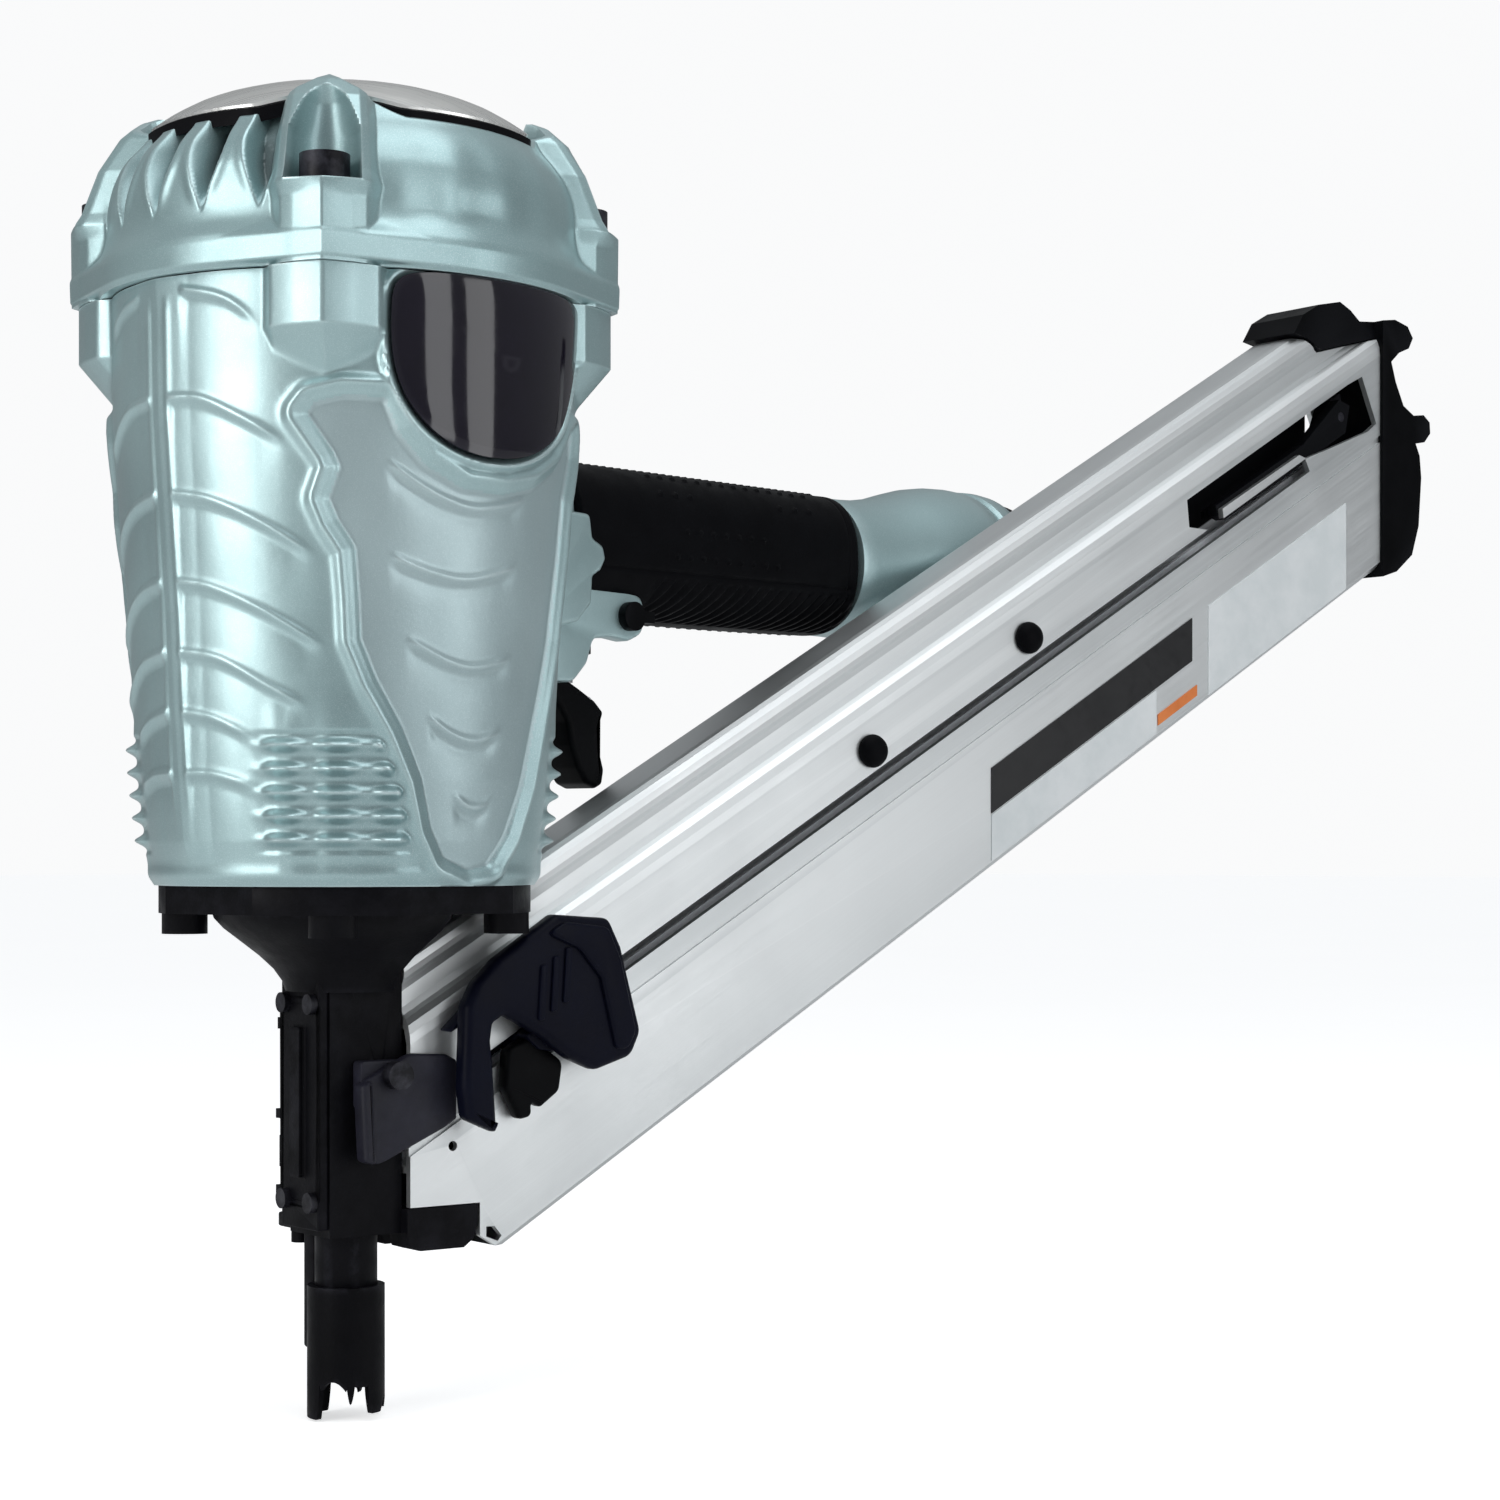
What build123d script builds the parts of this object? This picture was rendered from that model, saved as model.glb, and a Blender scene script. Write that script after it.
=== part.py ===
from build123d import *
import os
from math import cos, sin, tan, copysign, radians, pi

# Strip-fed pneumatic framing nailer. Millimetres.
# Origin: centre of the contact foot's bore mouth, on the driver axis.
# +Z runs up the driver axis to the head, +X runs out along the handle.
# The magazine's near side faces -Y.

# ---------------------------------------------------------------- driving dimensions
TOOTH = 12.0            # depth of the contact foot's teeth below its bore mouth
CANT = 11.0             # turn of the magazine about the driver axis, towards -Y
SLOPE = 30.0            # rise of the magazine from the horizontal
FIT = 0.05              # gap left at a gasket or mating face

# heights up the driver axis
Z_FOOT_TOP = 22.0       # top of the contact foot's sleeve
Z_TUBE_BOT = 18.0       # lower end of the nose tube
Z_BLOCK_BOT = 35.0      # lower end of the square nose block
Z_FLANGE = 117.0        # underside of the nose flange
Z_HOUSING = 124.0       # bottom of the cast housing
Z_CYL = 131.1           # lower end of the cylinder and bumper
Z_PART = 271.0          # housing top face, under the head gasket
Z_CAP = 272.0           # cap underside
Z_SEAT = 290.0          # seats of the cap bolt heads
Z_RIM = 309.2           # cap rim under the exhaust plate
Z_TOP = 326.5           # crown of the exhaust plate

NOSE_HALF = 10.4        # half side of the nose block
NAIL_HALF = 4.2         # driver bore radius and half width of the nail path
TUBE_R = 8.0
FOOT_R = 10.0
FOOT_BORE_R = 4.5
CYL_BORE_R = 31.0
CYL_OUT_R = 33.5
BOSS_R = 8.5            # cap bolt bosses

HANDLE_Z = 218.4        # handle centre line height
HANDLE_RY, HANDLE_RZ = 15.4, 17.6   # half axes of the handle's oval core
AIRWAY_R = 12.6         # bore down the handle
GRIP_X0, GRIP_X1 = 66.1, 183.5
END_X = 262.0           # rear face of the handle casting

MAG_T = 14.0            # half thickness of the magazine extrusion
MAG_W0, MAG_W1 = 16.3, 97.5         # its lower and upper edges, across the rail
MAG_L0, MAG_L1 = 10.8, 378.4        # its ends, as horizontal run
RAIL_SPAN = (5.0, 520.0)            # length extruded before the ends are trimmed upright
THROUGH = (-20, 20)                 # sideways reach of a cut right through the magazine

# fastener radii
M6_SHANK, M6_TAP = 2.95, 3.05
M4_SHANK, M4_TAP, M4_CLEAR = 1.95, 2.05, 2.2

os.makedirs("parts", exist_ok=True)

# ---------------------------------------------------------------- frames
cant_cos, cant_sin = cos(radians(CANT)), sin(radians(CANT))
slope_cos, slope_sin = cos(radians(SLOPE)), sin(radians(SLOPE))
RUN_DIR = (cant_cos, -cant_sin, 0.0)
NEAR_DIR = (-cant_sin, -cant_cos, 0.0)
RAIL_DIR = (cant_cos * slope_cos, -cant_sin * slope_cos, slope_sin)
TIPS = (0, 0, -TOOTH)
# SIDE: (horizontal run, height over the tooth tips, sideways to the near side)
SIDE = Plane(origin=TIPS, x_dir=RUN_DIR, z_dir=NEAR_DIR).location
# RAIL: (along the rail, across it, sideways to the near side)
RAIL = Plane(origin=TIPS, x_dir=RAIL_DIR, z_dir=NEAR_DIR).location
# NOSE: upright frame turned with the magazine
NOSE = Location((0, 0, 0), (0, 0, -CANT))


# ---------------------------------------------------------------- helpers
def piece(make):
    """Build a piece and write its solids to parts/<function name>.step."""
    made = make()
    shapes = made if isinstance(made, (list, tuple)) else [made]
    solids = [solid for shape in shapes for solid in shape.solids()]
    whole = solids[0] if len(solids) == 1 else Compound(children=solids)
    export_step(whole, f"parts/{make.__name__}.step")
    return make


def box(x0, x1, y0, y1, z0, z1):
    return Pos((x0 + x1) / 2, (y0 + y1) / 2, (z0 + z1) / 2) * Box(x1 - x0, y1 - y0, z1 - z0)


def cyl(r, z0, z1, x=0.0, y=0.0):
    return Pos(x, y, (z0 + z1) / 2) * Cylinder(r, z1 - z0)


def cyl_y(r, y0, y1, x, z):
    return Pos(x, (y0 + y1) / 2, z) * Rot(90, 0, 0) * Cylinder(r, y1 - y0)


def cyl_x(r, x0, x1, y, z):
    return Pos((x0 + x1) / 2, y, z) * Rot(0, 90, 0) * Cylinder(r, x1 - x0)


def tube(r_out, r_in, z0, z1, x=0.0, y=0.0):
    return cyl(r_out, z0, z1, x, y) - cyl(r_in, z0 - 1, z1 + 1, x, y)


def polygon(points):
    return make_face(Polyline(*points, close=True))


def prism(points, z0, z1):
    return Pos(0, 0, z0) * extrude(polygon(points), amount=z1 - z0, dir=(0, 0, 1))


def prism_y(points, y0, y1):
    """Polygon in X and Z, extruded along Y."""
    return Pos(0, y0, 0) * extrude(Plane.XZ * polygon(points), amount=y1 - y0, dir=(0, 1, 0))


def along_x(sketch, x0, x1, z=0.0):
    """Sketch in Y and Z, extruded along X at height z."""
    return Pos(x0, 0, z) * extrude(Plane.YZ * sketch, amount=x1 - x0, dir=(1, 0, 0))


def rail_run(points):
    """Polygon (across the rail, sideways), run along the rail."""
    return RAIL * along_x(polygon(points), *RAIL_SPAN)


def lathe(points):
    """Profile (r, z) turned about the driver axis."""
    return revolve(Plane.XZ * polygon(points), axis=Axis.Z)


def lathe_handle(points):
    """Profile (x, r) turned about the handle's centre line."""
    return Pos(0, 0, HANDLE_Z) * revolve(Plane.XZ * polygon(points), axis=Axis.X)


def coil(radius, wire, z0, z1, turns, x=0.0, y=0.0):
    height = z1 - z0 - 2 * wire
    path = Helix(pitch=height / turns, height=height, radius=radius)
    section = Plane(origin=path @ 0, z_dir=path % 0) * Circle(wire)
    return Pos(x, y, z0 + wire) * sweep(section, path=path, is_frenet=True)


def polar(r, degrees):
    return r * cos(radians(degrees)), r * sin(radians(degrees))


def hex_socket(radius, x, y, z):
    return Pos(x, y, z) * extrude(RegularPolygon(radius, 6), amount=3)


# ---------------------------------------------------------------- shared places
CORNERS = (45, 135, 225, 315)
BOSS_PCR = 61.0                                         # cap bolt circle radius
CAP_BOLTS = [polar(BOSS_PCR, a) for a in CORNERS]       # (x, y)
NOSE_BOLTS = [polar(41.0, a) for a in CORNERS]          # (x, y)
END_BOLTS = [(y, HANDLE_Z + z) for y, z in (polar(20.5, a) for a in CORNERS)]   # (y, z)

VALVE_X = 78.0                      # trigger valve axis
TRIGGER_PIVOT = (64, 186)           # (x, z)
ARM_PIVOT = (81.3, 173.6)           # (x, z)
SELECTOR = (88.0, 197.0)            # (x, z)

BRACKET_RUN, BRACKET_Z = 243.0, 218.0 + TOOTH           # in SIDE
BRACKET_BOLTS = [(BRACKET_RUN + dx, BRACKET_Z - 10.0) for dx in (-7.0, 7.0)]

# handle flare, (x, r)
FLARE = [(184.0, 20.2), (191, 20.4), (199, 20.9), (208, 22.3), (217, 24.8), (225, 26.8),
         (233, 27.9), (240, 28.2), (252, 28.2), (END_X, 26.0)]

# room for the top of the magazine under the casing and the flange
relief = (RAIL * box(0, 160, 10, 98.6, -15, 15)) & (SIDE * box(10.6, 100, 0, 260, *THROUGH))

# ---------------------------------------------------------------- cast housing
# outside of the casing and its air chamber, (r, z)
SKIN = [(0, Z_HOUSING), (47.7, Z_HOUSING), (50.5, 135), (52.3, 150), (53.8, 171), (54.8, 190),
        (58.5, 238), (59.0, Z_PART), (0, Z_PART)]
CHAMBER = [(0, 131), (43.5, 131), (46.5, 137), (48.5, 160), (50.0, 190), (53.8, 238),
           (54.3, Z_PART + 1), (0, Z_PART + 1)]


@piece
def main_housing():
    body = lathe(SKIN)
    for a, (x, y) in zip(CORNERS, CAP_BOLTS):
        body += cyl(BOSS_R, 252, Z_PART, x, y)
        body += Pos(*polar(BOSS_PCR - 3, a), 248) * Cone(3.0, BOSS_R, 8)
    # proud bands round the lower casing
    for z in range(133, 158, 6):
        body += tube(52.6 + (z - 133) * 0.07, 44.0, z, z + 2.2)
    # handle core, its root, the trigger lug, the flared end and the trigger ears
    core = along_x(Ellipse(HANDLE_RY, HANDLE_RZ), 45, 208, HANDLE_Z)
    root = box(44, 66.0, -17, 17, 199, 240)
    root = fillet(root.edges().filter_by(Axis.X), 8)
    lug = box(44, 92, -14.5, 14.5, 191.2, 206)
    flare = lathe_handle([(184.0, 0)] + FLARE + [(END_X, 0)])
    ears = box(44, 70, 7.0, 12.0, 179.5, 196) + box(44, 70, -12.0, -7.0, 179.5, 196)
    body = body + core + root + lug + flare + ears
    # air space
    body -= lathe(CHAMBER)
    body -= cyl_x(AIRWAY_R, 40, END_X + 1, 0, HANDLE_Z)
    body -= cyl(14.0, Z_HOUSING - 1, 132)
    # trigger valve socket, pivot and selector holes
    body -= cyl(7.6, 190, 216, VALVE_X, 0)
    body -= cyl_y(2.05, -13, 13, *TRIGGER_PIVOT)
    body -= cyl_y(2.6, -16, -9.0, *SELECTOR)
    # tapped holes
    for cap_bolt, nose_bolt in zip(CAP_BOLTS, NOSE_BOLTS):
        body -= cyl(M6_TAP, 254, Z_PART + 1, *cap_bolt)
        body -= cyl(M6_TAP, Z_HOUSING - 1, 130.2, *nose_bolt)
    for place in END_BOLTS:
        body -= cyl_x(M4_TAP, 244, END_X + 1, *place)
    for place in BRACKET_BOLTS:
        body -= SIDE * cyl(M4_TAP, -33, -11, *place)
    return body - relief


# ---------------------------------------------------------------- head
# outside of the cap, (r, z)
CAP = [(0, Z_CAP), (62.0, Z_CAP), (62.6, 279), (60.5, 281), (60.0, 292), (59.2, 297),
       (57.0, 302.5), (53.6, 306.8), (50.6, Z_RIM), (0, Z_RIM)]
# rib over each cap bolt, (radius from the axis, z)
CAP_RIB = [(44.4, 296), (66.6, 296), (63.8, 304), (58.2, 312.4), (52.5, 317.4), (47.0, 319.0),
           (44.4, 319.0)]
GILL = [(38, 302.5), (64, 293.0), (64, 306.0), (38, 306.0)]     # same columns
# domed exhaust plate, (r, z): over the outside, then back along the inside
DOME = [(0, Z_TOP), (8, 326.3), (16, 325.6), (24, 324.3), (30, 322.9), (36, 320.9),
        (40, 319.2), (44, 316.8), (47, 314.6), (49.4, 312.6), (50.6, Z_RIM + 1.6),
        (42.8, Z_RIM + 1.6), (42.8, 312.4), (45.8, 312.9), (42.9, 315.0), (39.0, 317.4),
        (35.2, 319.1), (29.5, 321.0), (23.7, 322.4), (15.9, 323.7), (8, 324.4), (0, 324.6)]


@piece
def head_gasket():
    ring = tube(58.8, 54.6, Z_PART + FIT, Z_CAP - FIT)
    for place in CAP_BOLTS:
        ring -= cyl(3.4, 260, 280, *place)
    return ring


@piece
def head_cap():
    cap = lathe(CAP)
    for a, place in zip(CORNERS, CAP_BOLTS):
        cap += cyl(9.0, Z_CAP, Z_SEAT, *place)
        cap += Rot(0, 0, a) * prism_y(CAP_RIB, -7.6, 7.6)
    cap -= cyl(40.15, Z_CAP - 1, 290)                   # head valve guide
    cap -= tube(54.0, 43.5, Z_CAP - 1, 283)             # air supply ring
    cap -= tube(45.0, 40.0, Z_CAP - 1, 276)             # passage from the ring to the valve
    cap -= cyl(21.15, 289, 302)                         # exhaust neck
    cap -= cyl(41.0, 301, 317)                          # exhaust chamber
    for place in CAP_BOLTS:
        cap -= cyl(3.3, Z_CAP - 1, 320, *place)
        cap -= cyl(7.2, Z_SEAT, 330, *place)
    for a in range(155, 204, 12):                       # exhaust gills on the -X side
        cap -= Rot(0, 0, a) * prism_y(GILL, -2.2, 2.2)
    return cap


@piece
def cap_bolts():
    head_top = Z_SEAT + 7.0
    return [cyl(M6_SHANK, 256, Z_SEAT + 0.2, x, y)
            + (cyl(6.0, Z_SEAT + FIT, head_top, x, y) - hex_socket(3.0, x, y, head_top - 2))
            for x, y in CAP_BOLTS]


@piece
def exhaust_seal():
    return tube(21.1, 16.5, 297.0, 300.9)


def notched(shape):
    """Step a shape round the four bolt ribs of the cap."""
    for a in CORNERS:
        shape -= Rot(0, 0, a) * box(44.1, 60, -7.9, 7.9, 300, 330)
    return shape


@piece
def plate_gasket():
    return notched(tube(50.4, 42.6, Z_RIM + FIT, Z_RIM + 1.5))


@piece
def exhaust_plate():
    return notched(lathe(DOME))


# ---------------------------------------------------------------- head valve and cylinder
@piece
def head_valve():
    valve = tube(40.0, 16.0, 262.6, 276) + tube(21.0, 16.0, 276, 292)
    return valve - tube(41, 37.6, 267, 270)


@piece
def head_valve_ring():
    return tube(40.02, 37.8, 267.1, 269.9)


@piece
def head_valve_spring():
    return coil(radius=30.0, wire=1.1, z0=276.1, z1=289.9, turns=4)


@piece
def cylinder():
    return tube(CYL_OUT_R, CYL_BORE_R, Z_CYL, 262.5) - tube(40, 32.6, 187.0, 189.0)


@piece
def chamber_plate():
    return tube(49.6, CYL_OUT_R + 0.15, 183, 193) - tube(36.2, 33, 186, 190)


@piece
def cylinder_ring():
    return tube(36.1, CYL_OUT_R + 0.05, 186.1, 189.9)


@piece
def piston_bumper():
    return tube(CYL_BORE_R - 0.4, 8.5, Z_CYL, 147.0) - tube(40, 28.2, 136, 141)


PISTON_Z = (250, 262)
DRIVER_HUB_R = 5.0


@piece
def piston():
    disc = tube(CYL_BORE_R - 0.08, DRIVER_HUB_R, *PISTON_Z)
    return disc - tube(32, 28.6, 254, 257.2) - tube(26, 13, 257.5, 263)


@piece
def piston_ring():
    return tube(CYL_BORE_R - 0.04, 28.7, 254.1, 257.1)


@piece
def driver_blade():
    return cyl(DRIVER_HUB_R, *PISTON_Z) + cyl(3.4, 101.5, 250.5)


# ---------------------------------------------------------------- badges
# outline, (degrees round the casing from the Y axis, z)
BADGE = [(-29.5, 267), (-30.5, 259), (-29.5, 247), (-25.5, 238), (-17.5, 231), (-9, 228),
         (2, 228), (12.5, 231.5), (22, 238), (29, 250), (33, 262), (31, 269), (16, 270.4),
         (-16, 270.4), (-25, 270)]


@piece
def badge():
    """One curved plate on each side of the casing."""
    outline = [(61.5 * sin(radians(a)), z) for a, z in BADGE]
    return [tube(61.2, 59.25, 226, 272) & prism_y(outline, *reach)
            for reach in ((-70, -20), (20, 70))]


# ---------------------------------------------------------------- handle grip and end cap
def superellipse(half_y, half_z, count=24, power=2.6):
    def stretch(value):
        return copysign(abs(value) ** (2 / power), value)
    angles = [2 * pi * i / count for i in range(count)]
    return [(half_y * stretch(cos(t)), half_z * stretch(sin(t))) for t in angles]


@piece
def handle_grip():
    outline = make_face(Spline(*superellipse(18.8, 20.6), periodic=True))
    grip = along_x(outline, GRIP_X0, GRIP_X1, HANDLE_Z)
    core = Ellipse(HANDLE_RY + 0.1, HANDLE_RZ + 0.1)
    grip -= along_x(core, GRIP_X0 - 1, GRIP_X1 + 1, HANDLE_Z)
    return grip - box(60, 92.2, -14.7, 14.7, 190, 206.2)        # notch for the trigger lug


CAP_X0 = END_X + 1.0                # front face of the end cap
CAP_X1 = CAP_X0 + 16.0              # mouth of the air inlet
AIR_R = 7.35                        # tapping bore for a 3/8 pipe thread


@piece
def end_cap_gasket():
    disc = cyl_x(25.0, END_X + FIT, CAP_X0 - FIT, 0, HANDLE_Z)
    disc -= cyl_x(AIRWAY_R, END_X - 1, END_X + 2, 0, HANDLE_Z)
    return disc - [cyl_x(M4_CLEAR, END_X - 1, END_X + 2, *place) for place in END_BOLTS]


@piece
def end_cap():
    cap = lathe_handle([(CAP_X0, 0), (CAP_X0, 26.0), (CAP_X0 + 4, 26.0), (CAP_X0 + 7, 24.0),
                        (CAP_X0 + 8, 14.0), (CAP_X1 - 3, 13.0), (CAP_X1, 11.5), (CAP_X1, 0)])
    cap -= cyl_x(AIR_R, CAP_X0 - 1, CAP_X1 + 1, 0, HANDLE_Z)
    for place in END_BOLTS:
        cap -= cyl_x(M4_CLEAR, CAP_X0 - 1, CAP_X0 + 12, *place)
        cap -= cyl_x(4.2, CAP_X0 + 4.5, CAP_X0 + 12, *place)
    return cap


@piece
def end_cap_bolts():
    return [cyl_x(M4_SHANK, 246, CAP_X0 + 4.6, *place)
            + cyl_x(3.8, CAP_X0 + 4.55, CAP_X0 + 8.4, *place) for place in END_BOLTS]


# ---------------------------------------------------------------- nose and its cover
COVER_SCREWS = [(y, z) for z in (44.0, 94.0) for y in (-7.0, 7.0)]     # in NOSE
CLAMP_BOLT = (4.5, 88.0)                                                # in SIDE
# guide at the magazine's lower front corner, (run, height)
STRIP_GUIDE = [(10.2, 47.2), (11, 43.2), (14, 42.3), (27, 42.3), (30, 44.5), (31.2, 48),
               (31.2, 53.2), (10.2, 53.2)]


@piece
def nose_body():
    nose = cyl(47.2, Z_FLANGE, Z_HOUSING - FIT)
    for place in NOSE_BOLTS:
        nose += cyl(5.8, 111.5, Z_FLANGE + 1, *place)
    # trim the round flange to a rounded square
    square = extrude(Pos(0, 0, 116) * RectangleRounded(88, 88, 14), amount=9, dir=(0, 0, 1))
    nose -= cyl(60, 116, 125) - square
    nose += NOSE * box(-NOSE_HALF, NOSE_HALF, -NOSE_HALF, NOSE_HALF, Z_BLOCK_BOT, Z_FLANGE + 1)
    nose += cyl(TUBE_R, Z_TUBE_BOT, Z_BLOCK_BOT + 1)
    # driver bore and the slot where the nails enter
    nose -= cyl(NAIL_HALF, 10, 130)
    nose -= NOSE * box(0, 11, -NAIL_HALF, NAIL_HALF, Z_BLOCK_BOT + 3, 101.0)
    for place in NOSE_BOLTS:
        nose -= cyl(M6_TAP, 105, 130, *place)
        nose -= cyl(4.9, 105, 116.5, *place)
    for place in COVER_SCREWS:
        nose -= NOSE * cyl_x(1.55, -NOSE_HALF - 1, -NOSE_HALF + 4, *place)
    nose -= SIDE * cyl(M4_TAP, 6, 12, *CLAMP_BOLT)
    nose -= relief
    guide = SIDE * prism(STRIP_GUIDE, -13.6, 13.6)
    guide -= SIDE * box(9, 40, 40, 60, -NAIL_HALF, NAIL_HALF)
    return nose + guide


@piece
def nose_bolts():
    return [cyl(M6_SHANK, 116.0, 130, x, y)
            + (cyl(4.8, 111.6, 116.4, x, y) - hex_socket(2.6, x, y, 111))
            for x, y in NOSE_BOLTS]


@piece
def nose_cover():
    """Ribbed plate on the nose face away from the handle."""
    cover = NOSE * (box(-NOSE_HALF - 3.0, -NOSE_HALF - FIT, -9.8, 9.8, 37, 101)
                    + box(-NOSE_HALF - 4.6, -NOSE_HALF - 2.9, -2.6, 2.6, 50, 88))
    for place in COVER_SCREWS:
        cover -= NOSE * cyl_x(1.7, -NOSE_HALF - 4.5, -NOSE_HALF + 1.5, *place)
    return cover


@piece
def cover_screws():
    return [NOSE * (cyl_x(1.5, -NOSE_HALF - 3.5, -NOSE_HALF + 1.5, *place)
                    + cyl_x(2.6, -NOSE_HALF - 4.75, -NOSE_HALF - 3.05, *place))
            for place in COVER_SCREWS]


# ---------------------------------------------------------------- contact foot and arm
KNOB_Y = 24                         # depth knob axis, in NOSE
ROD_R, ROD_HOLE_R = 2.5, 2.6


@piece
def contact_foot():
    foot = cyl(FOOT_R, -TOOTH, Z_FOOT_TOP)
    foot += NOSE * box(-5, 5, 8.0, 14.0, 4, 38)
    foot -= cyl(TUBE_R + 0.1, 4.5, 60)
    foot -= cyl(FOOT_BORE_R, -20, 10)
    foot -= cyl(FOOT_R - 2.6, -20, 0)
    for a in range(20, 360, 45):                        # gaps between the teeth
        foot -= Rot(0, 0, a - CANT) * box(6, 14, -2.5, 2.5, -20, -1.5)
    foot += NOSE * box(-5, 5, 11.2, 28.5, 34, 38)
    foot -= NOSE * cyl(ROD_HOLE_R, 30, 40, 0, KNOB_Y)
    foot -= NOSE * box(-6, 6, 3.0, 10.9, Z_FOOT_TOP, 60)
    return foot


@piece
def contact_arm():
    # strip up the nose, across, and up towards the trigger
    arm = NOSE * box(-5, 5, 14.7, 17.7, 42, 92)
    arm += NOSE * box(-5, 63, 14.9, 17.9, 84, 92)
    arm += NOSE * box(55.5, 63, 14.9, 17.9, 84, 158)
    arm += box(57.5, 63, -2.5, 6.5, 153.5, 162.5)
    # two knob brackets and the spring seat
    arm += NOSE * (box(-5, 5, 14.7, 28.5, 42.5, 45) + box(-5, 5, 14.7, 28.5, 62.5, 65))
    arm += NOSE * box(-5, 5, 14.7, 27.5, 86, 89)
    return arm - NOSE * cyl(ROD_HOLE_R, 40, 70, 0, KNOB_Y)


@piece
def depth_knob():
    knob = cyl(ROD_R, 30, 66, 0, KNOB_Y) + cyl(5.6, 50, 58, 0, KNOB_Y)
    for i in range(12):
        x, y = polar(6.0, i * 30)
        knob -= cyl(0.8, 49, 59, x, y + KNOB_Y)
    return NOSE * knob


@piece
def contact_arm_spring():
    return NOSE * coil(radius=3.2, wire=0.55, z0=89.1, z1=116.9, turns=7, y=22.6)


# ---------------------------------------------------------------- trigger group
# side outlines, (x, z)
TRIGGER = [(58, 189), (66, 189), (69, 184), (73, 179.5), (78, 177.3), (84, 174.2),
           (87.5, 171.2), (85.6, 166.5), (86.2, 160), (87.6, 155), (86.6, 151.2), (84.4, 150.0),
           (81, 151), (77.8, 155), (75.4, 161), (74.2, 168), (68, 175.5), (61, 180), (58, 184)]
TRIGGER_ARM = [(59, 175), (59, 177.2), (76, 177.5), (80, 176.7), (83.3, 174.8), (83.3, 171.8),
               (80, 170.9), (76, 173.5)]


@piece
def trigger():
    body = prism_y(TRIGGER, -6.4, 6.4)
    body -= box(50, 84.3, -3.0, 3.0, 169.5, 181.2)
    body -= box(67.5, 84.3, -3.0, 3.0, 169.5, 192)
    body -= cyl_y(2.1, -13, 13, *TRIGGER_PIVOT)
    return body - cyl_y(1.5, -13, 13, *ARM_PIVOT)


@piece
def trigger_pin():
    return cyl_y(2.0, -12.8, 12.8, *TRIGGER_PIVOT)


@piece
def trigger_arm():
    return prism_y(TRIGGER_ARM, -2.4, 2.4) - cyl_y(1.55, -5, 5, *ARM_PIVOT)


@piece
def trigger_arm_pin():
    return cyl_y(1.45, -6.3, 6.3, *ARM_PIVOT)


@piece
def valve_body():
    body = cyl(7.5, 187, 215.5, VALVE_X) - cyl(2.6, 186, 218, VALVE_X)
    body -= cyl(5.0, 192, 214, VALVE_X)
    return body - tube(8, 6.2, 196, 198.2, VALVE_X)


@piece
def valve_oring():
    return tube(7.55, 6.3, 196.1, 198.1, VALVE_X)


@piece
def valve_plunger():
    return cyl(2.5, 179, 219, VALVE_X) + cyl(4.6, 193, 196, VALVE_X)


@piece
def valve_spring():
    return coil(radius=3.7, wire=0.5, z0=196.1, z1=213.9, turns=6, x=VALVE_X)


@piece
def mode_selector():
    x, z = SELECTOR
    return (cyl_y(2.5, -15.5, -9.05, x, z) + cyl_y(4.0, -18.0, -15.0, x, z)
            + box(x, x + 8, -17.6, -15.4, z - 1.6, z + 1.6))


# ---------------------------------------------------------------- magazine
# half of the extrusion's section, (across the rail, sideways)
HALF_SECTION = [(MAG_W0, 11.5), (MAG_W0 + 2, MAG_T), (77.0, MAG_T), (79.2, 13.7), (81.2, 12.8),
                (82.6, 11.4), (83.4, 10.2), (85.0, 9.4), (88.6, 9.2), (90.2, 9.7), (91.4, 10.5),
                (93.0, 10.9), (94.8, 10.6), (96.3, 9.6), (97.2, 8.1), (MAG_W1, 6.4)]
# halves of its main hollow and of the hollow in the top rail, same columns
HALF_HOLLOW = [(MAG_W0 + 2, 12), (77, 12), (80.2, 10.8), (81.6, 8.4)]
HALF_RAIL_HOLLOW = [(84.0, 7.2), (90.0, 7.2), (92.0, 8.4), (95.0, 8.2), (95.6, 6.0)]
# cuts, (run, height)
FRONT_NOTCH = [(0, 0), (60, 0), (60, 41.0), (36.5, 42.0), (31.6, 45.0), (31.6, 53.6), (0, 53.6)]
WINDOW = [(289.2, 253.6), (290.2, 245.2), (299.5, 244.9), (303.8, 246.4), (305.4, 248.9),
          (304.9, 252.0), (339.9, 271.6), (343.0, 270.8), (353.3, 274.5), (372.3, 281.8),
          (376.6, 284.8), (369.6, 299.6), (362.8, 296.3)]
OPEN_END = [(364.2, 296.9), (369.6, 299.6), (376.6, 284.8), (371.0, 281.4)]
LOBE_CUT = [(339.0, 310.6), (346.0, 309.6), (353.0, 306.4), (379.0, 313.0), (390, 345),
            (335, 345)]
CORNER_NICK = [(33.5, 47.2), (33.5, 44.6), (37.0, 43.2), (38.2, 44.6), (36.0, 47.2)]
BUTTONS = [(162.4, 173.1), (222.3, 207.9)]


def mirrored(half):
    return half + [(w, -t) for w, t in half[::-1]]


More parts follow.
